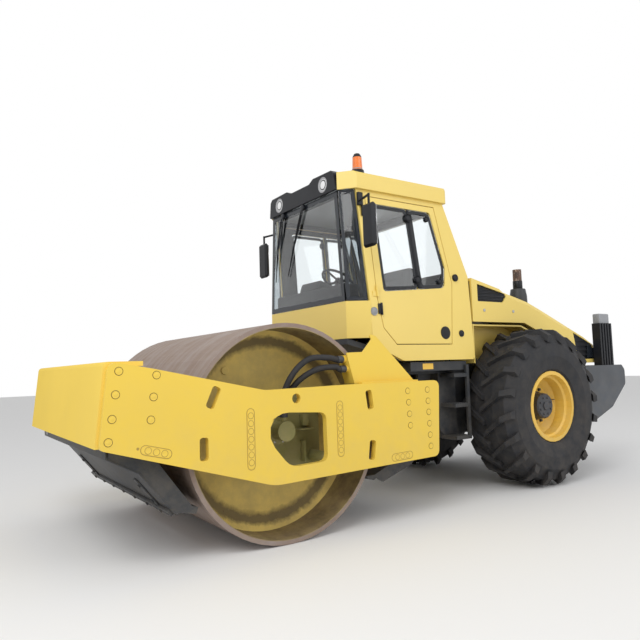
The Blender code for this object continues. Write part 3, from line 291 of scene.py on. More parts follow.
paintGrain, dirtGrain = (260.0, 14.0, 1.5, 0.06), (1.5, 0.35, 0.002)
yellowDust = {"Dust Color": (0.50, 0.40, 0.24), "Scale": 5.0, "Reach": 1.3}


def scaled(colour, share):
    return tuple(value * share for value in colour)


def yellowPaint(name, colour, dust, wear, coat=0.18):
    finish = Finish(name, colour, 0.38)
    finish.layer(toneShift, {"Second Color": scaled(colour, 0.90), "Amount": 0.5, "Scale": 0.9})
    finish.layer(chippedPaint, {"Under Color": (0.20, 0.14, 0.08), "Amount": wear, "Scale": 45.0}, 0.75)
    finish.layer(groundDust, {"Amount": dust, **yellowDust}, 0.85)
    finish.grain(*paintGrain)
    return finish.done(Coat_Weight=coat, Coat_Roughness=0.15, Specular_IOR_Level=2 * coat)


def darkPaint(name, colour, rough, dust, shine=0.5):
    finish = Finish(name, colour, rough)
    finish.layer(toneShift, {"Second Color": scaled(colour, 1.9), "Amount": 0.5, "Scale": 2.5})
    dustLook = {"Dust Color": (0.22, 0.19, 0.15), "Amount": dust, "Scale": 8.0, "Reach": 1.4}
    finish.layer(groundDust, dustLook, 0.9)
    finish.grain(180.0, 20.0, 0.8, 0.15)
    return finish.done(Specular_IOR_Level=shine)


def linedShadedPaint(name, colour, walls):  # cab paint outside, a pale grey headliner under the roof, and painted shade near black on the inner walls
    finish = Finish(name, colour, 0.38)
    finish.layer(toneShift, {"Second Color": scaled(colour, 0.90), "Amount": 0.5, "Scale": 0.9})
    finish.layer(groundDust, {"Amount": 0.18, **yellowDust}, 0.85)
    tree = finish.tree
    place, normal = splitVector(tree, objectPlace(tree)), surfaceNormal(tree)
    width = cabSide["half"] + cabSide["lean"] * cabSide["height"] - cabSide["wall"]  # inner half width at the ground
    half = mathNode(tree, "SUBTRACT", width, mathNode(tree, "MULTIPLY", place["Z"], cabSide["lean"]))
    inner = mathNode(tree, "LESS_THAN", mathNode(tree, "ABSOLUTE", place["X"]), half)
    for test in (mathNode(tree, "GREATER_THAN", place["Y"], cabSide["screen"] + drumStation),
                 mathNode(tree, "LESS_THAN", normal["Y"], 0.5), mathNode(tree, "LESS_THAN", normal["Z"], 0.5)):
        inner = mathNode(tree, "MULTIPLY", inner, test)
    overhead = mathNode(tree, "LESS_THAN", normal["Z"], -0.5)
    # near black on the inner walls is painted shade; pale grey overhead is the headliner
    headlinerAndWallShade = mixColours(tree, overhead, (0.035, 0.038, 0.043), (0.62, 0.63, 0.65))
    inner = inner if walls else mathNode(tree, "MULTIPLY", inner, overhead)
    finish.colour = mixColours(tree, inner, finish.colour, headlinerAndWallShade)
    finish.grain(*paintGrain)
    return finish.done(Coat_Weight=0.18, Coat_Roughness=0.15, Specular_IOR_Level=0.36)


def axisReach(tree):  # distance from the drum's axis
    value = objectPlace(tree)
    for operation, factor in (("SUBTRACT", at(0, 0, drumHeight)), ("MULTIPLY", (0, 1, 1)), ("LENGTH", None)):
        node = tree.nodes.new("ShaderNodeVectorMath")
        node.operation = operation
        if factor:
            node.inputs[1].default_value = factor
        tree.links.new(value, node.inputs[0])
        value = node.outputs["Value" if operation == "LENGTH" else "Vector"]
    return value


def makeDrumSteel():  # rolled plate, rubbed bright in places, thin rust between, dry dirt inside
    finish = Finish("drumSteel", (0.30, 0.225, 0.185), 0.62, 0.35)
    tree = finish.tree
    streaks = rangeNode(tree, noiseNode(tree, 3.2, 8, 0.7), 0.35, 0.70)
    cross = rangeNode(tree, noiseNode(tree, 2.0, 6, 0.65, (6.0, 0.6, 0.6)), 0.40, 0.72)
    rubbed = mixColours(tree, streaks, (0.235, 0.160, 0.122), (0.315, 0.250, 0.220))
    rubbed = mixColours(tree, mathNode(tree, "MULTIPLY", cross, 0.55), rubbed, (0.43, 0.385, 0.365))
    inner = rangeNode(tree, axisReach(tree), 0.770, 0.768)
    patches = rangeNode(tree, noiseNode(tree, 6.0, 8, 0.7), 0.35, 0.65)
    dirt = mixColours(tree, patches, (0.40, 0.315, 0.145), (0.17, 0.13, 0.075))
    finish.colour = mixColours(tree, inner, rubbed, dirt)
    finish.layer(groundDust, {"Dust Color": (0.30, 0.22, 0.15), "Amount": 0.5, "Scale": 7.0, "Reach": 0.4}, 0.9)
    finish.grain(90.0, 11.0, *dirtGrain)
    return finish.done()


def makeDrumInside():  # mustard paint under dry dirt, darkened to near black in a ragged ring round the rim of the head, next to the drum's recess wall
    finish = Finish("drumInside", (0.38, 0.29, 0.085), 0.75)
    tree = finish.tree
    uneven = mathNode(tree, "MULTIPLY", noiseNode(tree, 14.0, 8, 0.7), 0.08)
    ragged = mathNode(tree, "ADD", axisReach(tree), uneven)
    start, stop = rangeNode(tree, ragged, 0.655, 0.70), rangeNode(tree, ragged, 0.775, 0.745)
    ring = mathNode(tree, "MULTIPLY", start, stop, True)
    blotch = rangeNode(tree, noiseNode(tree, 4.0, 8, 0.7), 0.38, 0.66)
    paint = mixColours(tree, blotch, (0.80, 0.60, 0.175), (0.60, 0.455, 0.155))
    finish.colour = mixColours(tree, mathNode(tree, "MULTIPLY", ring, 0.8), paint, (0.085, 0.062, 0.040))
    finish.layer(chippedPaint, {"Under Color": (0.12, 0.06, 0.035), "Amount": 0.35, "Scale": 22.0}, 0.9)
    finish.grain(120.0, 16.0, *dirtGrain)
    return finish.done()


def makeRubber(name, colour, dust):
    finish = Finish(name, colour, 0.72)
    finish.layer(toneShift, {"Second Color": scaled(colour, 1.7), "Amount": 0.6, "Scale": 3.5})
    dustLook = {"Dust Color": (0.13, 0.11, 0.09), "Amount": dust, "Scale": 9.0, "Reach": 1.9}
    finish.layer(groundDust, dustLook, 0.92)
    finish.grain(240.0, 26.0, 0.6, 0.25)
    return finish.done()


def makeGlass(name, tint):
    return Finish(name, tint, 0.03).done(Transmission_Weight=1.0, IOR=1.45)


def makePlain(name, colour, rough, metal=0.0, fine=220.0, **sockets):
    finish = Finish(name, colour, rough, metal)
    finish.layer(toneShift, {"Second Color": scaled(colour, 0.85), "Amount": 0.5, "Scale": 9.0})
    finish.grain(fine, 20.0, 0.3, 0.08)
    return finish.done(**sockets)


def makeRustPipe():
    finish = Finish("rustPipe", (0.20, 0.12, 0.085), 0.8, 0.3)
    finish.layer(toneShift, {"Second Color": (0.06, 0.05, 0.05), "Amount": 0.9, "Scale": 9.0})
    finish.layer(chippedPaint, {"Under Color": (0.42, 0.33, 0.28), "Amount": 0.9, "Scale": 26.0}, 0.6)
    finish.grain(150.0, 30.0, 1.0, 0.4, 0.002)
    return finish.done()


cabYellow = (0.87, 0.655, 0.165)
finishes = {material.name: material for material in (
    yellowPaint("framePaint", (0.85, 0.60, 0.085), 0.25, 0.05, 0.12),
    # painted light: a brighter copy of the frame's yellow, since the front beam's face gets less light from the lamps
    yellowPaint("crossBeamLitPaint", (0.92, 0.67, 0.14), 0.12, 0.08, 0.0),
    yellowPaint("cabPaint", cabYellow, 0.15, 0.0),
    # painted shade: the inner walls of the cab sides, rear wall and doors are near black
    linedShadedPaint("linedShadedPaint", cabYellow, True),
    linedShadedPaint("roofPaint", cabYellow, False),
    yellowPaint("carrierPaint", (0.25, 0.235, 0.085), 0.5, 0.3, 0.1),
    yellowPaint("wheelPaint", (0.88, 0.55, 0.08), 0.55, 0.06),
    darkPaint("blackSteel", (0.020, 0.023, 0.028), 0.50, 0.45),
    darkPaint("castGrey", (0.060, 0.067, 0.078), 0.48, 0.35),
    darkPaint("hubGrey", (0.032, 0.036, 0.045), 0.45, 0.3),
    darkPaint("mattBlack", (0.009, 0.010, 0.013), 0.40, 0.12, 0.25),
    makeDrumSteel(),
    makeDrumInside(),
    makeRubber("tyreRubber", (0.010, 0.011, 0.014), 0.35),
    makeRubber("hoseRubber", (0.014, 0.014, 0.016), 0.25),
    makeGlass("cabGlass", (0.93, 0.96, 0.97)),
    makeGlass("tintedGlass", (0.42, 0.47, 0.50)),
    makePlain("amberLens", (0.88, 0.20, 0.02), 0.18, 0.0, 60.0, Coat_Weight=0.5),
    makePlain("cleanLamp", (0.86, 0.87, 0.88), 0.06, 0.0, 40.0, Coat_Weight=1.0),
    makePlain("brightRod", (0.72, 0.72, 0.74), 0.14, 1.0),
    makePlain("zincSteel", (0.42, 0.42, 0.43), 0.38, 0.85),
    # painted shadow: the flat dark rings round the plugs in the side plates
    makePlain("plugShadowDark", (0.16, 0.105, 0.03), 0.85),
    # painted shade: the thin dark lines round the slot welds, their discs and the pad's hole
    makePlain("weldShadeLine", (0.42, 0.28, 0.06), 0.75),
    makePlain("printedBand", (0.016, 0.020, 0.027), 0.22),
    makePlain("sealRubber", (0.014, 0.016, 0.020), 0.65),
    makePlain("palePlastic", (0.30, 0.31, 0.33), 0.5),
    makePlain("seatCloth", (0.085, 0.088, 0.096), 0.88, 0.0, 420.0),
    makeRustPipe(),
)}

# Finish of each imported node; a name with {side} stands for the left and the right piece
nodeFinish = {
    "framePaint": ["side_plate_{side}", "rear_beam"],
    "crossBeamLitPaint": ["front_beam"],
    "blackSteel": ["front_scraper", "rear_scraper", "chassis", "axle", "engine", "cab_floor", "step_box_{side}"],
    "drumSteel": ["drum_shell"],
    "drumInside": ["drum_head_{side}"],
    "carrierPaint": ["drum_carrier_{side}"],
    "mattBlack": ["cylinder_barrel_{side}", "roof_visor", "mirror_{side}", "console", "upper_grille_{side}",
                  "rear_grille_{side}", "tail_post_{side}"],
    "brightRod": ["cylinder_rod_{side}"],
    "tyreRubber": ["tyre_{side}"],
    "hubGrey": ["hub_{side}"],
    "wheelPaint": ["rim_{side}"],
    "castGrey": ["counterweight"],
    "cabPaint": ["hood", "wheel_arches", "cab_front"],
    "linedShadedPaint": ["cab_side_{side}", "cab_rear_wall", "door_{side}"],
    "roofPaint": ["roof"],
    "cabGlass": ["door_glass_{side}", "windshield", "rear_window"],
    "tintedGlass": ["corner_glass_{side}"],
    "rustPipe": ["exhaust"],
    "amberLens": ["beacon"],
    "hoseRubber": ["hose_upper", "hose_lower"],
    "seatCloth": ["seat"],
}


def dressNodes():
    for finish, patterns in nodeFinish.items():
        for nodeName in dict.fromkeys(pattern.format(side=side) for pattern in patterns for side in sides):
            node = frame["nodes"][nodeName]
            node.data.materials.clear()
            node.data.materials.append(finishes[finish])


dressNodes()
print("finishes on the packed nodes")


# Modelling helpers
def clearSelection():
    if bpy.context.mode != "OBJECT":
        bpy.ops.object.mode_set(mode="OBJECT")
    bpy.ops.object.select_all(action="DESELECT")


def pickOnly(piece):
    clearSelection()
    piece.select_set(True)
    bpy.context.view_layer.objects.active = piece


def addBox(place, size, turn=(0, 0, 0)):
    clearSelection()
    bpy.ops.mesh.primitive_cube_add(size=1, location=place, rotation=turn)
    piece = bpy.context.active_object
    piece.scale = size
    bpy.ops.object.transform_apply(location=False, rotation=False, scale=True)
    return piece


def addBar(place, radius, length, axis="Z", edges=24, tip=None):  # round bar, or a cone when its tip has a radius
    clearSelection()
    turn = {"X": (0, math.pi / 2, 0), "Y": (math.pi / 2, 0, 0), "Z": (0, 0, 0)}[axis]
    common = {"vertices": edges, "depth": length, "location": place, "rotation": turn}
    if tip is None:
        bpy.ops.mesh.primitive_cylinder_add(radius=radius, **common)
    else:
        bpy.ops.mesh.primitive_cone_add(radius1=radius, radius2=tip, **common)
    return bpy.context.active_object


def topFace(centre, normal):
    return normal.z > 0.9


def endFaces(centre, normal):
    return abs(normal.z) > 0.9


def allFaces(centre, normal):
    return True


def pickFaces(piece, test):  # opens edit mode on the faces whose centre and normal pass
    pickOnly(piece)
    bpy.ops.object.mode_set(mode="EDIT")
    bpy.ops.mesh.select_mode(type="FACE")
    bpy.ops.mesh.select_all(action="DESELECT")
    bpy.ops.object.mode_set(mode="OBJECT")
    for face in piece.data.polygons:
        face.select = test(face.center, face.normal)
    bpy.ops.object.mode_set(mode="EDIT")


def insetFaces(piece, test, *steps):  # each step is a width, and how far the inner faces then move if they do
    pickFaces(piece, test)
    for width, *move in steps:
        bpy.ops.mesh.inset(thickness=width)
        if move:
            bpy.ops.transform.translate(value=move)
    bpy.ops.object.mode_set(mode="OBJECT")
    return piece


def softenEdges(piece, width, segments=2):
    change = piece.modifiers.new("softEdges", "BEVEL")
    change.width = width
    change.segments = segments
    change.limit_method = "ANGLE"
    change.angle_limit = math.radians(35)
    change.harden_normals = False
    pickOnly(piece)
    bpy.ops.object.modifier_apply(modifier=change.name)
    return piece


def copyTo(piece, place, turn):
    twin = piece.copy()
    twin.data = piece.data.copy()
    twin.location = place
    twin.rotation_euler = turn
    bpy.context.collection.objects.link(twin)
    return twin


def outward(sign):  # turns +Z to the machine's left or right
    return (0, sign * math.pi / 2, 0)


def dropPatterns(*patterns):
    for pattern in patterns:
        bpy.data.objects.remove(pattern)


def joinPieces(name, pieces):
    clearSelection()
    for piece in pieces:
        piece.select_set(True)
    bpy.context.view_layer.objects.active = pieces[0]
    if len(pieces) > 1:
        bpy.ops.object.join()
    joined = bpy.context.active_object
    joined.name = name
    joined.data.name = name
    return joined


def settle(piece, finish, body, smooth=40):  # place baked into the mesh, finish and body given
    pickOnly(piece)
    bpy.ops.object.transform_apply(location=True, rotation=True, scale=True)
    if smooth:
        bpy.ops.object.shade_smooth_by_angle(angle=math.radians(smooth))
    piece.data.materials.clear()
    piece.data.materials.append(finishes[finish])
    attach(piece, body)
    return piece


def addFace(name, loop):  # one face through a loop of points
    mesh = bpy.data.meshes.new(name)
    mesh.from_pydata([Vector(point) for point in loop], [], [tuple(range(len(loop)))])
    piece = bpy.data.objects.new(name, mesh)
    bpy.context.collection.objects.link(piece)
    return piece


def turnOutward():  # in edit mode: all normals point out
    bpy.ops.mesh.select_all(action="SELECT")
    bpy.ops.mesh.normals_make_consistent(inside=False)
    bpy.ops.object.mode_set(mode="OBJECT")


def thicken(piece, reach):
    pickFaces(piece, allFaces)
    bpy.ops.mesh.extrude_region_move(TRANSFORM_OT_translate={"value": reach})
    turnOutward()
    return piece


def addPlate(name, outline, axis, low, high):  # flat plate across X or Y, its outline given as pairs
    spot = {"X": lambda a, b: at(low, a, b), "Y": lambda a, b: at(a, low, b)}[axis]
    reach = {"X": (high - low, 0, 0), "Y": (0, high - low, 0)}[axis]
    return thicken(addFace(name, [spot(a, b) for a, b in outline]), reach)


def addBorder(name, corners, width, thickness, radius=0.0):  # flat frame just inside a loop of corners
    piece = addFace(name, corners)
    if radius > 0:
        pickFaces(piece, allFaces)
        bpy.ops.mesh.bevel(offset=radius, segments=3, affect="VERTICES")
    pickFaces(piece, allFaces)
    bpy.ops.mesh.inset(thickness=width)
    bpy.ops.mesh.delete(type="FACE")
    bpy.ops.mesh.select_all(action="SELECT")
    bpy.ops.mesh.extrude_region_shrink_fatten(TRANSFORM_OT_shrink_fatten={"value": thickness})
    turnOutward()
    return piece


def ringPoints(middle, radius, count, phase=0.0, tall=None):  # pairs round a circle, or round a tall oval
    angles = [math.tau * (k + phase) / count for k in range(count)]
    return [(middle[0] + radius * math.cos(a), middle[1] + (tall or radius) * math.sin(a)) for a in angles]


def inPlane(x, pairs):  # pairs of station and height, in the upright plane at x
    return [at(x, behind, z) for behind, z in pairs]


def smoothRoute(route, between):  # Catmull-Rom points through a route
    knots = [Vector(p) for p in route]
    knots = [2 * knots[0] - knots[1], *knots, 2 * knots[-1] - knots[-2]]
    points = []
    for i in range(1, len(knots) - 2):
        before, start, end, after = knots[i - 1:i + 3]
        for k in range(between):
            t = k / between
            points.append(0.5 * (2 * start + (end - before) * t + (2 * before - 5 * start + 4 * end - after) * t * t
                                 + (3 * start - before - 3 * end + after) * t ** 3))
    return points + [knots[-2]]


def addWire(name, points, radius, rounds):
    curve = bpy.data.curves.new(name, "CURVE")
    curve.dimensions = "3D"
    curve.bevel_depth = radius
    curve.bevel_resolution = rounds
    curve.use_fill_caps = True
    line = curve.splines.new("POLY")
    line.points.add(len(points) - 1)
    for knot, point in zip(line.points, points):
        knot.co = (*point, 1)
    piece = bpy.data.objects.new(name, curve)
    bpy.context.collection.objects.link(piece)
    return piece


def wireMesh(name, points, radius, rounds):
    piece = addWire(name, points, radius, rounds)
    pickOnly(piece)
    bpy.ops.object.convert(target="MESH")
    return bpy.context.active_object


def cabHalf(z):  # outer half width of the cab, whose sides lean in
    return cabSide["half"] - cabSide["lean"] * (z - cabSide["height"])


def onCabSide(sign, behind, z, proud=0.0):
    return Vector(at(sign * (cabHalf(z) + proud), behind, z))


print("modelling helpers ready")

# Hoses from the bracket's glands down to the drum's motor, in place of the plain tubes
hoseLook = {
    "diameter": 0.046, "glandX": 1.075, "portZ": 0.9006, "straight": (0, 0.025, 0.06),  # straight run at both ends
    "ferrule": 0.0285, "ferruleLength": 0.05, "ferruleOff": 0.001,
}
hoseRoutes = {
    "upper": {"gland": (0.495, 1.32), "motor": 0.992,
              "middle": [(1.073, 0.36, 1.335), (1.062, 0.20, 1.33), (1.035, 0.08, 1.24), (1.0, 0.01, 1.10)]},
    "lower": {"gland": (0.518, 1.245), "motor": 0.936,
              "middle": [(1.073, 0.42, 1.262), (1.062, 0.27, 1.25), (1.02, 0.14, 1.18), (0.955, 0.05, 1.06)]},
}


def addHose(label, values):
    behind, z = values["gland"]
    route = [(hoseLook["glandX"], behind - away, z) for away in hoseLook["straight"]] + values["middle"]
    route += [(values["motor"], 0, hoseLook["portZ"] + above) for above in reversed(hoseLook["straight"])]
    points = smoothRoute([at(*place) for place in route], 8)
    hose = addWire(f"driveHose_{label}", points, hoseLook["diameter"] / 2, 6)
    hose.data.materials.append(finishes["hoseRubber"])
    for end, inner, name in ((points[0], points[4], "bracket"), (points[-1], points[-5], "motor")):
        way = (inner - end).normalized()
        ring = addBar((0, 0, 0), hoseLook["ferrule"], hoseLook["ferruleLength"])
        softenEdges(insetFaces(ring, endFaces, (0.004,)), 0.002, 1)
        ring.rotation_euler = way.to_track_quat("Z", "Y").to_euler()
        ring.location = end + way * (hoseLook["ferruleLength"] / 2 + hoseLook["ferruleOff"])
        ring.name = f"hoseFerrule_{label}_{name}"
        settle(ring, "hubGrey", "front_frame")
    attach(hose, "front_frame")
    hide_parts(f"hose_{label}")


for label, values in hoseRoutes.items():
    addHose(label, values)
print("hoses laid")

# Round plugs in the bolt holes of the side plates, each in a dark ring of painted shadow
outerFace = 1.19
platePlugs = {
    "frontRadius": 0.0225, "rearRadius": 0.022, "thick": 0.012, "proud": 0.0034,
    "rim": (0.006, 0, 0, -0.0022), "middle": (0.003, 0, 0, 0.0012),  # inset width and the move that follows
    "shadowRing": 0.004, "shadowRingThick": 0.004, "shadowRingProud": 0.0004,
    "front": [(-1.262, 1.275), (-1.282, 1.135), (-1.303, 0.99), (-1.325, 0.855), (-1.03, 1.245), (-1.05, 1.11),
              (-1.068, 0.97)],
    "rear": [(1.06, 1.05), (1.065, 0.957), (1.07, 0.863), (1.075, 0.77), (1.28, 1.05), (1.283, 0.957), (1.286, 0.865),
             (1.289, 0.77), (1.291, 0.676), (1.294, 0.583)],
}


def makePlug(radius):  # disc with a raised rim and a sunk middle
    plug = addBar((0, 0, 0), radius, platePlugs["thick"], "Z", 28)
    insetFaces(plug, topFace, platePlugs["rim"], platePlugs["middle"])
    return softenEdges(plug, 0.0008, 2)


def makeShadowRing(radius):  # flat dark ring that the plug sits in, a painted shadow round its edge
    return insetFaces(addBar((0, 0, 0), radius, platePlugs["shadowRingThick"], "Z", 28), topFace, (0.002,))


def addPlugs():
    plugOff = outerFace - platePlugs["thick"] / 2 + platePlugs["proud"]
    shadowRingOff = outerFace - platePlugs["shadowRingThick"] / 2 + platePlugs["shadowRingProud"]
    for side, sign in sides.items():
        plugs, shadowRings = [], []
        for label in ("front", "rear"):
            radius = platePlugs[f"{label}Radius"]
            plug, shadowRing = makePlug(radius), makeShadowRing(radius + platePlugs["shadowRing"])
            for behind, z in platePlugs[label]:
                plugs.append(copyTo(plug, at(sign * plugOff, behind, z), outward(sign)))
                shadowRings.append(copyTo(shadowRing, at(sign * shadowRingOff, behind, z), outward(sign)))
            dropPatterns(plug, shadowRing)
        settle(joinPieces(f"platePlugs_{side}", plugs), "framePaint", "front_frame")
        # the flat dark rings are painted shadow round the plugs
        settle(joinPieces(f"plugShadowRings_{side}", shadowRings), "plugShadowDark", "front_frame")


addPlugs()
print("plugs in the side plates")

# Filled slot welds on the side plates: rows of discs in a sunk outline, drawn as thin lines of painted shade round
# the discs, the slots and a hole
slotWelds = {
    "disc": 0.019, "discThick": 0.006, "discProud": 0.0036, "discEdge": (0.005, 0, 0, -0.0012),
    "ring": 0.0225, "ringWidth": 0.0035, "ringThick": 0.0003,
    "outline": 0.031, "line": 0.004, "lineThick": 0.0004, "lineProud": 0.0003,
    "padHalf": 0.026, "pad": (-0.002, 0.0018),
    "lying": [((-1.035, 0.770), -0.26, 0.072), ((0.975, 0.533), 0.035, 0.082)],  # middle, slope, half length
    "pitch": 0.054, "lyingRing": 0.0020,
    "upright": [((-0.38, 0.79), 0.40), ((0.37, 0.80), 0.40)], "end": 0.022, "rings": 7, "uprightPitch": 0.0525,
    "uprightRing": 0.0026,
    "hole": ((-1.150, 0.801), 0.009),
}


def stadium(a, b, half, steps=8):  # outline of a slot whose end centres are a and b, in the plate's plane
    along = Vector((b[0] - a[0], b[1] - a[1])).normalized()
    start = math.atan2(along.y, along.x)
    loop = []
    for centre, first in ((a, start + math.pi / 2), (b, start - math.pi / 2)):
        for k in range(steps + 1):
            angle = first + math.pi * k / steps
            loop.append((centre[0] + half * math.cos(angle), centre[1] + half * math.sin(angle)))
    return loop


def weldShadeRing(x, middle):  # thin dark ring round a disc, painted shade at its edge
    loop = inPlane(x, ringPoints(middle, slotWelds["ring"], 20))
    return addBorder("weldShadeRing", loop, slotWelds["ringWidth"], slotWelds["ringThick"])


def slotShadeLine(x, first, last):  # sunk outline of a whole slot, drawn as a thin line of painted shade
    loop = inPlane(x, stadium(first, last, slotWelds["outline"]))
    return addBorder("slotShadeLine", loop, slotWelds["line"], slotWelds["lineThick"])


def addSlotWelds():
    lineOff = outerFace + slotWelds["lineProud"]
    discOff = outerFace - slotWelds["discThick"] / 2 + slotWelds["discProud"]
    for side, sign in sides.items():
        discs, shadeOutlines, pads = [], [], []
        disc = addBar((0, 0, 0), slotWelds["disc"], slotWelds["discThick"])
        softenEdges(insetFaces(disc, topFace, slotWelds["discEdge"]), 0.0006, 1)
        for middle, slope, half in slotWelds["lying"]:
            middle, along = Vector(middle), Vector((math.cos(slope), math.sin(slope)))
            first, last = tuple(middle - along * half), tuple(middle + along * half)
            for k in (-1, 0, 1):
                spot = middle + along * slotWelds["pitch"] * k
                discs.append(copyTo(disc, at(sign * discOff, *spot), outward(sign)))
                shadeOutlines.append(weldShadeRing(sign * (outerFace + slotWelds["lyingRing"]), spot))
            shadeOutlines.append(slotShadeLine(sign * lineOff, first, last))
            low, high = (sign * (outerFace + off) for off in slotWelds["pad"])
            pads.append(addPlate("slotPad", stadium(first, last, slotWelds["padHalf"]), "X", low, high))
        dropPatterns(disc)
        for (behind, z), length in slotWelds["upright"]:
            reach = length / 2 - slotWelds["end"]
            shadeOutlines.append(slotShadeLine(sign * lineOff, (behind, z - reach), (behind, z + reach)))
            for k in range(slotWelds["rings"]):
                rise = slotWelds["uprightPitch"] * (k - (slotWelds["rings"] - 1) / 2)
                shadeOutlines.append(weldShadeRing(sign * (outerFace + slotWelds["uprightRing"]), (behind, z + rise)))
        # the pad's hole is drawn as a dark disc of painted shade
        middle, radius = slotWelds["hole"]
        rim = inPlane(sign * lineOff, ringPoints(middle, radius, 20))
        shadeOutlines.append(addBorder("padHole", rim, radius * 0.9, slotWelds["lineThick"]))
        for pad in pads:
            softenEdges(pad, 0.001, 1)
        settle(joinPieces(f"weldPads_{side}", pads + discs), "framePaint", "front_frame")
        # the thin dark lines are painted shade round the welds
        settle(joinPieces(f"weldShadeLines_{side}", shadeOutlines), "weldShadeLine", "front_frame", 0)


addSlotWelds()
print("slot welds on the side plates")

# Bolted fittings of the drum: buffers, motor and head, seen through the windows of the side plates
drumFittings = {
    "carrierFace": 0.83, "carrierBolts": [(-0.33, 0.53), (-0.33, 0.95), (0.37, 0.53), (0.37, 0.95), (0.02, 1.03),
                                          (0.02, 0.54)],
    "motorFace": 0.90, "motorBoltRing": 0.090, "motorBolts": 8,
    "ribs": [((0.035, -0.20, 0.95), (0.07, 0.012, 0.16)), ((0.035, 0.24, 0.62), (0.07, 0.012, 0.16)),
             ((0.035, -0.20, 0.62), (0.07, 0.012, 0.16)), ((0.03, 0.26, 0.86), (0.06, 0.05, 0.09)),
             ((0.045, 0.245, 0.79), (0.09, 0.14, 0.012))],  # place off the carrier's face, size
    "headFace": 0.705, "plugs": [(-0.34, 0.46), (0.36, -0.42)], "plug": (0.030, 0.012), "plugProud": 0.004,
}
boltShape = {"washer": 1.25, "washerHigh": 0.24, "headMiddle": 0.6, "headHigh": 0.75, "crown": (0.16, 0.1)}
smallBolt, bigBolt, hubBolt, wheelNut, railBolt = (
    (0.011, 0.012), (0.016, 0.016), (0.011, 0.010), (0.015, 0.022), (0.013, 0.012))  # radius, height


def makeBolt(radius, height):  # hexagon head on a washer, along Z
    shape = boltShape
    washerHigh = height * shape["washerHigh"]
    washer = addBar((0, 0, washerHigh / 2), radius * shape["washer"], washerHigh, "Z", 20)
    head = addBar((0, 0, height * shape["headMiddle"]), radius, height * shape["headHigh"], "Z", 6)
    edge, rise = shape["crown"]
    return joinPieces("bolt", [washer, insetFaces(head, topFace, (radius * edge, 0, 0, height * rise))])


def boltsAt(name, pattern, places, turn):
    return joinPieces(name, [copyTo(pattern, place, turn) for place in places])


def addDrumFittings():
    values = drumFittings
    face, headFace = values["carrierFace"], values["headFace"]
    for side, sign in sides.items():
        small, big = makeBolt(*smallBolt), makeBolt(*bigBolt)
        carrier = boltsAt("carrierBolts", big, inPlane(sign * face, values["carrierBolts"]), outward(sign))
        ring = ringPoints((0, drumHeight), values["motorBoltRing"], values["motorBolts"], 0.5)
        motor = boltsAt("motorBolts", small, inPlane(sign * values["motorFace"], ring), outward(sign))
        dropPatterns(small, big)
        settle(joinPieces(f"carrierBolts_{side}", [carrier, motor]), "zincSteel", "front_frame")
        ribs = [addBox(at(sign * (face + off), behind, z), size) for (off, behind, z), size in values["ribs"]]
        for rib in ribs:
            softenEdges(rib, 0.003, 2)
        settle(joinPieces(f"carrierRibs_{side}", ribs), "carrierPaint", "front_frame")
        plugs = []
        for behind, up in values["plugs"]:
            place = at(sign * (headFace + values["plugProud"]), behind, drumHeight + up)
            plug = addBar(place, *values["plug"], "X")
            plugs.append(softenEdges(insetFaces(plug, endFaces, (0.008,)), 0.002, 2))
        settle(joinPieces(f"drainPlugs_{side}", plugs), "drumInside", "drum")


addDrumFittings()
print("drum fittings")

# Skirt over the ribs of the front scraper, with its lower rail, straps and bolts
scraperSkirt = {
    "outer": [(-1.307, 0.806), (-1.302, 0.733), (-1.097, 0.622), (-0.858, 0.333)],
    "inner": [(-0.850, 0.341), (-1.088, 0.630), (-1.291, 0.741), (-1.298, 0.806)],
    "half": 1.034, "rail": (2.02, 0.026, 0.050), "railRise": 0.03, "railProud": 0.010, "railBolts": 7,
    "railBoltProud": 0.0228, "straps": [-0.80, 0.80], "strap": (0.05, 0.014, 0.25), "strapRise": 0.17,
    "strapProud": 0.005, "strapBolts": [0.10, 0.24], "strapBoltProud": 0.0118,
    "label": (-0.89, -1.3065, 0.772), "labelSize": (0.085, 0.004, 0.042),  # bare plate near one end
}


def addScraperSkirt():
    values = scraperSkirt
    upper, lower = (Vector(at(0, *values["outer"][k])) for k in (2, 3))
    up = (upper - lower).normalized()
    out = Vector((0, -up.z, up.y))
    turn = math.atan2(-up.y, up.z)
    facing = (turn + math.pi / 2, 0, 0)

    def onSkirt(x, rise, proud):
        return Vector((x, 0, 0)) + lower + up * rise + out * proud

    skirt = addPlate("scraperSkirt", values["outer"] + values["inner"], "X", -values["half"], values["half"])
    rail = addBox(onSkirt(0, values["railRise"], values["railProud"]), values["rail"], (turn, 0, 0))
    pieces = [softenEdges(skirt, 0.002, 2), softenEdges(rail, 0.003, 2)]
    bolt = makeBolt(*railBolt)
    for k in range(values["railBolts"]):
        x = values["rail"][0] * ((k + 0.5) / values["railBolts"] - 0.5)
        pieces.append(copyTo(bolt, onSkirt(x, values["railRise"], values["railBoltProud"]), facing))
    for x in values["straps"]:
        strap = addBox(onSkirt(x, values["strapRise"], values["strapProud"]), values["strap"], (turn, 0, 0))
        pieces.append(softenEdges(strap, 0.003, 2))
        for rise in values["strapBolts"]:
            pieces.append(copyTo(bolt, onSkirt(x, rise, values["strapBoltProud"]), facing))
    dropPatterns(bolt)
    settle(joinPieces("scraperSkirt", pieces), "blackSteel", "front_frame")
    label = softenEdges(addBox(at(*values["label"]), values["labelSize"]), 0.001, 1)
    settle(label, "palePlastic", "front_frame").name = "scraperLabel"


addScraperSkirt()
print("scraper skirt")

# Wheels: bolts of the planetary hub, wheel nuts and valve
wheelSet = {
    "centre": (0.86, 3.10, 0.80), "hubFace": 0.166, "hubBolts": 8, "hubBoltRing": 0.088, "boltSink": 0.0005,
    "cap": (0.042, 0.014), "capProud": 0.004, "nuts": 12, "nutRing": 0.186, "nutPlace": 0.0225,
    "valve": (0.075, 0.24, 0.05), "valveSize": (0.006, 0.06),
}


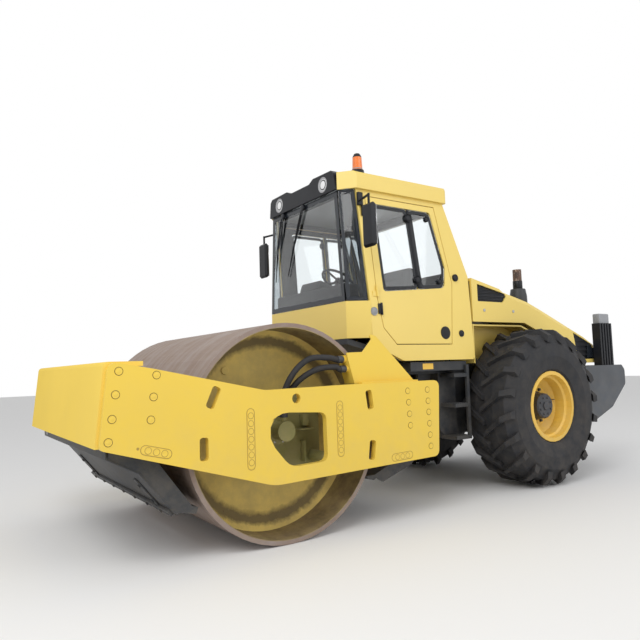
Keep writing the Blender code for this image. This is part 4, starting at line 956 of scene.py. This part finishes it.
def addWheelFittings():
    values = wheelSet
    x, behind, z = values["centre"]
    for side, sign in sides.items():
        bolt, nut = makeBolt(*hubBolt), makeBolt(*wheelNut)
        ring = ringPoints((behind, z), values["hubBoltRing"], values["hubBolts"], 0.5)
        places = inPlane(sign * (x + values["hubFace"] - values["boltSink"]), ring)
        hub = boltsAt("hubBolts", bolt, places, outward(sign))
        cap = addBar(at(sign * (x + values["hubFace"] + values["capProud"]), behind, z), *values["cap"], "X", 28)
        softenEdges(insetFaces(cap, endFaces, (0.012,)), 0.003, 2)
        ring = ringPoints((behind, z), values["nutRing"], values["nuts"])
        nuts = boltsAt("wheelNuts", nut, inPlane(sign * (x + values["nutPlace"]), ring), outward(sign))
        dropPatterns(bolt, nut)
        settle(joinPieces(f"hubBolts_{side}", [hub, cap, nuts]), "hubGrey", f"wheel_{side}")
        away, back, up = values["valve"]
        stem = addBar(at(sign * (x + away), behind + back, z + up), *values["valveSize"], "X", 16)
        softenEdges(stem, 0.0015, 2)
        settle(stem, "zincSteel", f"wheel_{side}").name = f"tyreValve_{side}"


addWheelFittings()
print("wheel fittings")

# Cab windows: printed bands and seals round the panes, and the bar between the panes of a door
paneTrim = {
    "windshield": [(-0.652, 1.846), (0.652, 1.846), (0.581, 2.856), (-0.581, 2.856)], "windshieldFace": 0.8548,
    "bandWidth": 0.045, "bandThick": 0.001, "sealWidth": 0.030, "depth": 0.0035, "sealSink": -0.0115,
    "sealCorner": 0.045, "corner": {"low": 1.848, "high": 2.852, "front": 0.8625, "frontX": (0.668, 0.595),
                                    "rear": (1.032, 0.961), "inset": 0.016, "proud": 0.0016, "width": 0.032},
    "front": [(1.153, 2.737), (1.222, 1.942), (1.652, 1.978), (1.577, 2.737)],
    "rear": [(1.606, 2.737), (1.681, 1.980), (1.987, 2.006), (2.016, 2.198), (1.868, 2.737)],
    "barTop": (1.592, 2.737), "barFoot": (1.667, 1.979),
    "bars": [(0.018, -0.012, -0.003), (0.0063, -0.004, 0.0005)],  # half width, inner and outer place
}


def cornerLoop(sign):  # the four corners of a corner pane's outer face
    values = paneTrim["corner"]
    low, high, inset = values["low"], values["high"], values["inset"]
    spots = ((values["frontX"][0], values["front"], low), (cabHalf(low) - inset, values["rear"][0], low),
             (cabHalf(high) - inset, values["rear"][1], high), (values["frontX"][1], values["front"], high))
    loop = [Vector(at(sign * x, behind, z)) for x, behind, z in spots]
    away = (loop[1] - loop[0]).cross(loop[3] - loop[0]).normalized() * sign
    return [spot + away * values["proud"] for spot in loop]


def windowBar(sign, half, low, high):
    (top, topZ), (foot, footZ) = paneTrim["barTop"], paneTrim["barFoot"]
    pairs = ((top - half, topZ), (foot - half, footZ), (foot + half, footZ), (top + half, topZ))
    bar = addFace("windowBar", [onCabSide(sign, behind, z, low) for behind, z in pairs])
    return softenEdges(thicken(bar, (sign * (high - low), 0, 0)), 0.002, 2)


def addPaneTrim():
    values = paneTrim
    loop = [at(x, values["windshieldFace"], z) for x, z in values["windshield"]]
    band = addBorder("windshieldBand", loop, values["bandWidth"], values["bandThick"])
    settle(band, "printedBand", "rear_frame", 0)
    for side, sign in sides.items():
        band = addBorder("cornerBand", cornerLoop(sign), values["corner"]["width"], values["bandThick"])
        settle(band, "printedBand", "rear_frame", 0).name = f"cornerBand_{side}"
        seals = []
        for label in ("front", "rear"):
            loop = [onCabSide(sign, behind, z, values["sealSink"]) for behind, z in values[label]]
            seals.append(addBorder(f"seal_{label}", loop, values["sealWidth"], values["depth"], values["sealCorner"]))
        settle(joinPieces(f"doorSeals_{side}", seals), "sealRubber", f"{side}_door", 0)
        bars = [windowBar(sign, *bar) for bar in values["bars"]]
        settle(joinPieces(f"windowBar_{side}", bars), "mattBlack", f"{side}_door")


addPaneTrim()
print("pane trim")

# Door and cab fittings: window knobs, lock, arrester, lamp, hinge leaf
cabKnobs = {
    # body, places (station, height), radius, reach out of the panel, start off the panel, finish
    "windowKnobs": ("door", [(1.585, 2.655), (1.650, 2.060)], 0.041, 0.034, -0.010, "mattBlack"),
    "windowStops": ("door", [(1.828, 2.672), (1.938, 2.062)], 0.027, 0.022, -0.010, "mattBlack"),
    "doorLock": ("door", [(1.955, 1.560)], 0.062, 0.004, 0.0, "mattBlack"),
    "fuelCap": ("cab", [(2.175, 1.555)], 0.033, 0.010, 0.0, "mattBlack"),
    "arrester": ("cab", [(2.150, 2.110)], 0.036, 0.022, 0.0, "mattBlack"),
    "turnLamp": ("cab", [(1.085, 1.745)], 0.038, 0.012, 0.0, "palePlastic"),
}
knobShape = {"foot": 0.004, "rim": (0.22, -0.35), "middle": (0.18, 0.25), "edge": 0.2, "edgeLimit": 0.0025}
doorHinge = {"place": (1.155, 1.77), "size": (0.010, 0.042, 0.095), "leafProud": 0.004,
             "knuckle": (0.010, 0.11), "knuckleBack": 0.016, "knuckleProud": 0.010}


def makeKnob(radius, reach):
    foot = knobShape["foot"]
    knob = addBar((0, 0, reach / 2 - foot), radius, reach + 2 * foot, "Z", 28)
    steps = [(radius * width, 0, 0, reach * move) for width, move in (knobShape["rim"], knobShape["middle"])]
    insetFaces(knob, topFace, *steps)
    return softenEdges(knob, min(knobShape["edgeLimit"], reach * knobShape["edge"]), 2)


def addKnobs():
    for side, sign in sides.items():
        for label, (carrier, places, radius, reach, start, finish) in cabKnobs.items():
            pattern = makeKnob(radius, reach)
            knobs = [copyTo(pattern, onCabSide(sign, behind, z, start), outward(sign)) for behind, z in places]
            dropPatterns(pattern)
            body = f"{side}_door" if carrier == "door" else "rear_frame"
            settle(joinPieces(f"{label}_{side}", knobs), finish, body)
        behind, z = doorHinge["place"]
        lean = (0, math.atan(cabSide["lean"]) * -sign, 0)
        leaf = addBox(onCabSide(sign, behind, z, doorHinge["leafProud"]), doorHinge["size"], lean)
        place = onCabSide(sign, behind + doorHinge["knuckleBack"], z, doorHinge["knuckleProud"])
        knuckle = addBar(place, *doorHinge["knuckle"], "Z", 20)
        knuckle.rotation_euler = lean
        leaves = [softenEdges(leaf, 0.003, 2), softenEdges(knuckle, 0.002, 2)]
        settle(joinPieces(f"doorHinge_{side}", leaves), "mattBlack", "rear_frame")


addKnobs()
print("cab fittings")

# Mirror heads: glass, and the clamp that holds each arm; the oval mirror inside the cab
mirrorLook = {
    "head": (0.94, 0.9565, 2.47), "glass": (0.132, 0.003, 0.346),
    "clamp": (0.008, 1.005, 2.765), "clampAt": 2.74, "clampSize": (0.030, 0.055, 0.12),
    "lever": (0.012, 1.030, 2.66), "leverAt": 2.66, "leverSize": (0.022, 0.03, 0.10),
    "inside": (0.615, 2.545), "insideAt": 1.03, "hoop": (0.062, 0.15), "hoopWire": 0.010, "face": (0.058, 0.146),
    "faceReach": (1.022, 1.038), "stem": [(0.615, 1.03, 2.69), (0.615, 1.03, 2.78), (0.63, 1.04, 2.845)],
    "stemWire": 0.008,
}


def clampBox(sign, place, height, size, edge, segments):  # block on the cab's corner, beside its width at a height
    proud, behind, z = place
    return softenEdges(addBox(at(sign * (cabHalf(height) + proud), behind, z), size), edge, segments)


def addMirrorFittings():
    values = mirrorLook
    x, behind, z = values["head"]
    for side, sign in sides.items():
        glass = softenEdges(addBox(at(sign * x, behind, z), values["glass"]), 0.001, 1)
        settle(glass, "brightRod", "rear_frame").name = f"mirrorGlass_{side}"
        clamp = clampBox(sign, values["clamp"], values["clampAt"], values["clampSize"], 0.006, 3)
        lever = clampBox(sign, values["lever"], values["leverAt"], values["leverSize"], 0.005, 2)
        settle(joinPieces(f"mirrorClamp_{side}", [clamp, lever]), "mattBlack", "rear_frame")
    width, tall = values["hoop"]
    ring = [at(x, values["insideAt"], z) for x, z in ringPoints(values["inside"], width, 40, tall=tall)]
    hoop = wireMesh("insideMirrorFrame", ring + ring[:1], values["hoopWire"], 3)
    stem = wireMesh("insideMirrorStem", [at(*place) for place in values["stem"]], values["stemWire"], 3)
    settle(joinPieces("insideMirrorFrame", [hoop, stem]), "mattBlack", "rear_frame")
    width, tall = values["face"]
    outline = ringPoints(values["inside"], width, 40, tall=tall)
    face = softenEdges(addPlate("insideMirror", outline, "Y", *values["faceReach"]), 0.003, 2)
    settle(face, "mattBlack", "rear_frame")


addMirrorFittings()
print("mirrors")

# Visor: lamp bezels and lenses, wipers that hang from it over the windshield
visorLook = {
    "lamp": (0.40, 0.8325, 2.955), "bezel": (0.073, 0.014), "bezelEdge": (0.011, 0, 0.006, 0), "lens": 0.063,
    "lensBack": 0.004, "lensFlat": 0.16,
}


def addVisorFittings():
    values = visorLook
    x, behind, z = values["lamp"]
    for side, sign in sides.items():
        bezel = addBar(at(sign * x, behind, z), *values["bezel"], "Y", 40)
        softenEdges(insetFaces(bezel, topFace, values["bezelEdge"]), 0.0015, 2)
        settle(bezel, "zincSteel", "rear_frame").name = f"roofLampBezel_{side}"
        clearSelection()
        bpy.ops.mesh.primitive_uv_sphere_add(segments=36, ring_count=16, radius=values["lens"],
                                             location=at(sign * x, behind + values["lensBack"], z))
        lens = bpy.context.active_object
        lens.scale = (1, values["lensFlat"], 1)
        settle(lens, "cleanLamp", "rear_frame").name = f"roofLampLens_{side}"


addVisorFittings()

wiperSet = {
    "off": 0.836, "armRadius": 0.007, "twinRadius": 0.0049, "bladeRadius": 0.0055, "spineRadius": 0.0045,
    "middleBack": -0.004, "elbowBack": 0.003, "bladeBack": 0.008, "blade": (-0.30, 0.34),
    "spine": [(-0.20, -0.004), (0, -0.014), (0.22, -0.004)],  # way along the blade, step off it
    "twin": (0.035, 0.018, 0.01), "boss": (0.030, 0.030), "bossPlace": (0.016, 0.006),
}
wipers = {
    "left": {"pivot": (0.02, 2.83), "elbow": (-0.14, 2.50), "tip": (-0.30, 2.17)},
    "right": {"pivot": (-0.36, 2.83), "elbow": (-0.47, 2.50), "tip": (-0.50, 2.09)},
}


def addWiper(label, pivot, elbow, tip):
    values = wiperSet
    off, elbowOff = values["off"], values["off"] + values["elbowBack"]
    (pivotX, pivotZ), (elbowX, elbowZ) = pivot, elbow
    half = at((pivotX + elbowX) / 2, off + values["middleBack"], (pivotZ + elbowZ) / 2)
    route = [at(pivotX, off, pivotZ), half, at(elbowX, elbowOff, elbowZ)]
    arm = wireMesh("wiperArm", route, values["armRadius"], 3)
    start, end, rise = values["twin"]
    route = [at(pivotX + start, off, pivotZ), at(elbowX + end, elbowOff, elbowZ + rise)]
    twin = wireMesh("wiperArm", route, values["twinRadius"], 3)
    way = (Vector(at(tip[0], off, tip[1])) - Vector(at(pivotX, off, pivotZ))).normalized()
    middle = Vector(at(elbowX, off + values["bladeBack"], elbowZ))
    blade = wireMesh("wiperBlade", [middle + way * along for along in values["blade"]], values["bladeRadius"], 1)
    route = [middle + way * along + Vector((0, back, 0)) for along, back in values["spine"]]
    spine = wireMesh("wiperSpine", route, values["spineRadius"], 2)
    side, back = values["bossPlace"]
    boss = softenEdges(addBar(at(pivotX + side, off + back, pivotZ), *values["boss"], "Y"), 0.004, 2)
    settle(joinPieces(f"wiper_{label}", [arm, twin, blade, spine, boss]), "mattBlack", "rear_frame")


for label, spots in wipers.items():
    addWiper(label, **spots)
print("visor and wipers")

# Beacon: black foot and cap over the amber dome
beaconLook = {
    "place": (0.56, 1.12), "foot": 3.0563, "footSize": (0.072, 0.072), "footTop": 0.060,
    "cap": 3.2335, "capSize": (0.0455, 0.039), "capTop": 0.026, "band": 3.1035, "bandSize": (0.0488, 0.010),
}


def addBeaconFittings():
    values = beaconLook
    x, behind = values["place"]
    foot = addBar(at(x, behind, values["foot"]), *values["footSize"], "Z", 36, values["footTop"])
    cap = addBar(at(x, behind, values["cap"]), *values["capSize"], "Z", 36, values["capTop"])
    pieces = [softenEdges(foot, 0.004, 2), softenEdges(cap, 0.008, 3)]
    settle(joinPieces("beaconFoot", pieces), "mattBlack", "rear_frame")
    band = softenEdges(addBar(at(x, behind, values["band"]), *values["bandSize"], "Z", 36), 0.002, 2)
    settle(band, "palePlastic", "rear_frame").name = "beaconBand"


addBeaconFittings()
print("beacon")

# Dashboard under the windshield
dashboard = {"middle": (0.9775, 1.93), "shelf": (1.20, 0.165, 0.17), "pod": (0.34, 0.13, 0.10), "podUp": 0.105,
             "podLean": -20}


def addDashboard():
    values = dashboard
    behind, z = values["middle"]
    shelf = addBox(at(0, behind, z), values["shelf"])
    pod = addBox(at(0, behind, z + values["podUp"]), values["pod"], (math.radians(values["podLean"]), 0, 0))
    pieces = [softenEdges(shelf, 0.02, 3), softenEdges(pod, 0.02, 3)]
    settle(joinPieces("dashboard", pieces), "mattBlack", "rear_frame")


addDashboard()
print("dashboard")

# Engine end: exhaust sleeve and collar, tail lamps, latches, posts' caps
rearLook = {
    "exhaust": (0.40, 3.58), "sleeveMiddle": 1.932, "sleeve": (0.1025, 0.19), "sleeveTop": 0.0975,
    "sleeveNeck": (0.014, 0, 0, 0.085), "collarMiddle": 2.162, "collar": (0.0545, 0.09),
    "hoodHeight": 1.820, "hoodSlope": -0.374, "hoodHalf": 0.75,
    "lamp": [(4.33, 1.285), (4.495, 1.285), (4.475, 1.395), (4.35, 1.435)], "lampReach": (-0.006, 0.004),
    "lampEdge": 0.010, "lampSink": 0.003,
    "latches": [(3.02, 1.80), (2.56, 1.80)], "latch": (0.016, 0.008), "latchProud": 0.001,
    "postCap": (0.8175, 4.56, 1.743), "postCapSize": (0.0885, 0.205, 0.122),
    "label": (0.7605, 1.72, 1.2425), "labelSize": (0.002, 0.135, 0.055),
}


def addExhaustSleeve():
    values = rearLook
    x, behind = values["exhaust"]
    middle = values["sleeveMiddle"]
    sleeve = addBar(at(x, behind, middle), *values["sleeve"], "Z", 40, values["sleeveTop"])
    for point in sleeve.data.vertices:  # lower end cut to the slope of the hood
        if point.co.z < 0:
            point.co.z = values["hoodHeight"] + values["hoodSlope"] * point.co.y - middle
    softenEdges(insetFaces(sleeve, topFace, values["sleeveNeck"]), 0.006, 2)
    settle(sleeve, "blackSteel", "hood_lid").name = "exhaustSleeve"
    collar = addBar(at(x, behind, values["collarMiddle"]), *values["collar"], "Z", 40)
    softenEdges(insetFaces(collar, endFaces, (0.003,)), 0.0015, 2)
    settle(collar, "mattBlack", "hood_lid").name = "exhaustCollar"


def addRearFittings():
    values = rearLook
    half = values["hoodHalf"]
    for side, sign in sides.items():
        lamp = addPlate("tailLamp", values["lamp"], "X", *(sign * (half + off) for off in values["lampReach"]))
        insetFaces(lamp, lambda centre, normal: sign * normal.x > 0.9,
                   (values["lampEdge"], -sign * values["lampSink"], 0, 0))
        softenEdges(lamp, 0.0015, 2)
        settle(lamp, "printedBand", "hood_lid").name = f"tailLamp_{side}"
        latches = []
        for place in inPlane(sign * (half + values["latchProud"]), values["latches"]):
            latch = insetFaces(addBar(place, *values["latch"], "X"), endFaces, (0.005,))
            latches.append(softenEdges(latch, 0.0015, 2))
        settle(joinPieces(f"hoodLatches_{side}", latches), "zincSteel", "hood_lid")
        x, behind, z = values["postCap"]
        cap = softenEdges(addBox(at(sign * x, behind, z), values["postCapSize"]), 0.012, 3)
        settle(cap, "palePlastic", "rear_frame").name = f"postCap_{side}"
        x, behind, z = values["label"]
        label = softenEdges(addBox(at(sign * x, behind, z), values["labelSize"]), 0.0007, 1)
        settle(label, "wheelPaint", "rear_frame").name = f"blankLabel_{side}"


# Louvred panels on the hood: on its sloping rear face, and raised on the slope above it
hoodLouvres = {
    "rearLouvres": {"middle": (4.580, 1.3375), "slope": (0.160, -0.225), "half": 0.52, "length": 0.21, "rise": 0.005,
                    "thick": 0.014, "border": 0.018, "slats": 8, "slat": (0.004, 0.022)},
    "topLouvres": {"middle": (4.160, 1.5975), "slope": (0.280, -0.105), "half": 0.60, "length": 0.50, "rise": 0.011,
                   "thick": 0.026, "border": 0.030, "slats": 16, "slat": (0.004, 0.024)},
}
louvreShape = {"back": 0.004, "lift": 0.001, "tilt": 35}  # back plate, how far it and the slats stand up, slats' tilt


def addHoodLouvres(name, values):
    middle = Vector(at(0, *values["middle"]))
    half, length, border = values["half"], values["length"], values["border"]
    down = Vector((0, *values["slope"])).normalized()
    out = Vector((0, -down.z, down.y))
    turn = math.atan2(out.z, out.y)
    frame, lift = middle + out * values["rise"], out * louvreShape["lift"]
    parts = [addBox(middle + lift, (2 * half, louvreShape["back"], length), (turn, 0, 0))]
    for end in (-1, 1):
        edge = frame + down * end * (length - border) / 2
        parts.append(addBox(edge, (2 * half, values["thick"], border), (turn, 0, 0)))
        edge = frame + Vector((end * (half - border / 2), 0, 0))
        parts.append(addBox(edge, (border, values["thick"], length), (turn, 0, 0)))
    tilted = (turn + math.radians(louvreShape["tilt"]), 0, 0)
    for k in range(values["slats"]):
        share = (k + 0.5) / values["slats"] - 0.5
        place = frame + lift + down * share * (length - 2 * border)
        parts.append(addBox(place, (2 * half - border, *values["slat"]), tilted))
    for part in parts:
        softenEdges(part, 0.0012, 1)
    settle(joinPieces(name, parts), "mattBlack", "hood_lid")


addExhaustSleeve()
addRearFittings()
for name, values in hoodLouvres.items():
    addHoodLouvres(name, values)
print("engine end fittings")

# Treads on the step rungs
stepTreads = {"heights": [0.567, 0.877, 1.167], "x": 0.6975, "front": 2.045, "rear": 2.19, "teeth": 5,
              "tooth": (0.165, 0.008, 0.006)}


def addTreads():
    values = stepTreads
    pitch = (values["rear"] - values["front"]) / values["teeth"]
    for side, sign in sides.items():
        places = [at(sign * values["x"], values["front"] + pitch * (k + 0.5), z)
                  for z in values["heights"] for k in range(values["teeth"])]
        teeth = [softenEdges(addBox(place, values["tooth"]), 0.0015, 1) for place in places]
        settle(joinPieces(f"stepTreads_{side}", teeth), "blackSteel", "rear_frame")


addTreads()
print("step treads")

# Padded seat in place of the plain one: cushion and back with bolsters and channels, on a folded bellows
seatLook = {
    "floor": 1.3503, "cushion": (0.49, 0.48, 0.145), "cushionPlace": (0, 1.715, 1.6975),
    "back": (0.47, 0.58, 0.115), "backFoot": (0, 1.952, 1.7203), "lean": 12,
    "bellows": (0.36, 0.33), "bellowsMiddle": 1.735, "folds": 5, "foldParts": ((0.5, 1.0), (0.95, 0.86)),
    "foldHigh": 0.55, "foldEdge": 0.2, "rail": (0.38, 0.36, 0.03),
}
padShape = {
    "cuts": 47, "bolster": 0.085, "bolsterSlope": 0.03, "rise": 0.012, "seam": 0.009, "seamWidth": 0.010,
    "channels": 5, "thinEdge": 0.30, "roundSide": 0.05, "roundCorner": 0.03,
}


def padDepth(x, y, halfX, halfY):  # how far the upper face lies under the pad's box
    seam, width = padShape["seam"], padShape["seamWidth"]
    past = abs(x) - (halfX - padShape["bolster"])
    depth = padShape["rise"] * (1 - min(max(past, 0) / padShape["bolsterSlope"], 1))
    if past < 0:
        for k in range(1, padShape["channels"]):
            place = halfY * (2 * k / padShape["channels"] - 1)
            depth += seam * math.exp(-((y - place) / width) ** 2)
    return depth + seam * math.exp(-(past / width) ** 2)


def makePad(size):  # pad lying flat, its upper face raised at both sides and drawn in along the seams
    pad = addBox((0, 0, 0), size)
    pickFaces(pad, allFaces)
    bpy.ops.mesh.subdivide(number_cuts=padShape["cuts"])
    bpy.ops.object.mode_set(mode="OBJECT")
    halfX, halfY, halfZ = (length / 2 for length in size)
    side, corner = padShape["roundSide"], padShape["roundCorner"]
    for point in pad.data.vertices:
        x, y, z = point.co
        across, along, up = x / halfX, y / halfY, z / halfZ
        thin = 1 - padShape["thinEdge"] * max(abs(across), abs(along)) ** 8
        point.co.x = x * (1 - side * up ** 4 - corner * along ** 8)
        point.co.y = y * (1 - side * up ** 4 - corner * across ** 8)
        point.co.z = z * thin - (padDepth(x, y, halfX, halfY) if up > 0.5 else 0)
    return pad


def addSeat():
    values = seatLook
    cushion, back = makePad(values["cushion"]), makePad(values["back"])
    cushion.location = at(*values["cushionPlace"])
    lean = math.radians(values["lean"])
    back.rotation_euler = (math.pi / 2 - lean, 0, 0)
    rise = Vector((0, math.sin(lean), math.cos(lean)))
    back.location = Vector(at(*values["backFoot"])) + rise * values["back"][1] / 2
    pads = settle(joinPieces("seatPads", [cushion, back]), "seatCloth", "rear_frame", 60)
    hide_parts("seat")
    folds = []
    low, high = values["floor"] + values["rail"][2], values["cushionPlace"][2] - values["cushion"][2] / 2
    pitch = (high - low) / values["folds"]
    width, depth = values["bellows"]
    for k in range(values["folds"]):
        for share, grow in values["foldParts"]:
            place = at(0, values["bellowsMiddle"], low + pitch * (k + share))
            fold = addBox(place, (width * grow, depth * grow, pitch * values["foldHigh"]))
            folds.append(softenEdges(fold, pitch * values["foldEdge"], 2))
    rail = addBox(at(0, values["bellowsMiddle"], values["floor"] + values["rail"][2] / 2), values["rail"])
    folds.append(softenEdges(rail, 0.004, 2))
    settle(joinPieces("seatBellows", folds), "sealRubber", "rear_frame")


addSeat()
print("seat padded")

# Lever on its box beside the seat
driveLever = {
    "box": (0.36, 1.70, 1.62), "boxSize": (0.13, 0.42, 0.50), "place": (0.36, 1.58, 1.87),
    "gaiter": (0.032, 0.028), "gaiterTop": 0.014, "gaiterUp": 0.012, "stem": (0.006, 0.14),
    "grip": (0.019, 0.065), "gripTop": 0.023, "gripUp": 0.16,
}


def addDriveLever():
    values = driveLever
    box = softenEdges(addBox(at(*values["box"]), values["boxSize"]), 0.015, 3)
    x, behind, top = values["place"]
    gaiter = addBar(at(x, behind, top + values["gaiterUp"]), *values["gaiter"], tip=values["gaiterTop"])
    stem = addBar(at(x, behind, top + values["stem"][1] / 2), *values["stem"], edges=16)
    grip = addBar(at(x, behind, top + values["gripUp"]), *values["grip"], tip=values["gripTop"])
    pieces = [box, gaiter, stem, softenEdges(grip, 0.007, 3)]
    settle(joinPieces("driveLever", pieces), "mattBlack", "rear_frame")


addDriveLever()
print("drive lever")

# Floor and light
studio = {
    "floor": (0.86, 0.86, 0.86, 1), "floorRough": 0.9, "floorSize": 80, "floorPlace": (0, 0, -0.002), "world": 0.62,
    "aim": (0, -0.5, 1.0),
    "lamps": {"keyLight": ((5.0, -7.0, 7.5), 5.0, 420.0), "fillLight": ((8.0, 3.5, 5.0), 6.0, 160.0)},
}


def addFloor():
    clearSelection()
    bpy.ops.mesh.primitive_plane_add(size=studio["floorSize"], location=studio["floorPlace"])
    floor = bpy.context.active_object
    floor.name = "studioFloor"
    paint = bpy.data.materials.new("studioFloor")
    paint.use_nodes = True
    shader = paint.node_tree.nodes["Principled BSDF"]
    shader.inputs["Base Color"].default_value = studio["floor"]
    shader.inputs["Roughness"].default_value = studio["floorRough"]
    floor.data.materials.append(paint)


def addWorld():  # white where it is looked at, directly or in glass and gloss, and softer as a light
    world = bpy.data.worlds.new("studioWorld")
    bpy.context.scene.world = world
    world.use_nodes = True
    tree = world.node_tree
    background = tree.nodes["Background"]
    rays = tree.nodes.new("ShaderNodeLightPath").outputs
    seen = mathNode(tree, "ADD", rays["Is Camera Ray"], rays["Is Transmission Ray"], True)
    seen = mathNode(tree, "ADD", seen, rays["Is Glossy Ray"], True)
    strength = tree.nodes.new("ShaderNodeMix")
    strength.inputs[2].default_value = studio["world"]
    strength.inputs[3].default_value = 1.0
    tree.links.new(seen, strength.inputs[0])
    tree.links.new(strength.outputs[0], background.inputs["Strength"])
    background.inputs["Color"].default_value = (1, 1, 1, 1)


def addLamps():
    for name, (place, size, power) in studio["lamps"].items():
        data = bpy.data.lights.new(name, "AREA")
        data.size = size
        data.energy = power
        lamp = bpy.data.objects.new(name, data)
        lamp.location = place
        lamp.rotation_euler = (Vector(studio["aim"]) - Vector(place)).to_track_quat("-Z", "Y").to_euler()
        bpy.context.collection.objects.link(lamp)


addFloor()
addWorld()
addLamps()
bpy.context.scene.view_settings.view_transform = "Standard"
print("studio set")
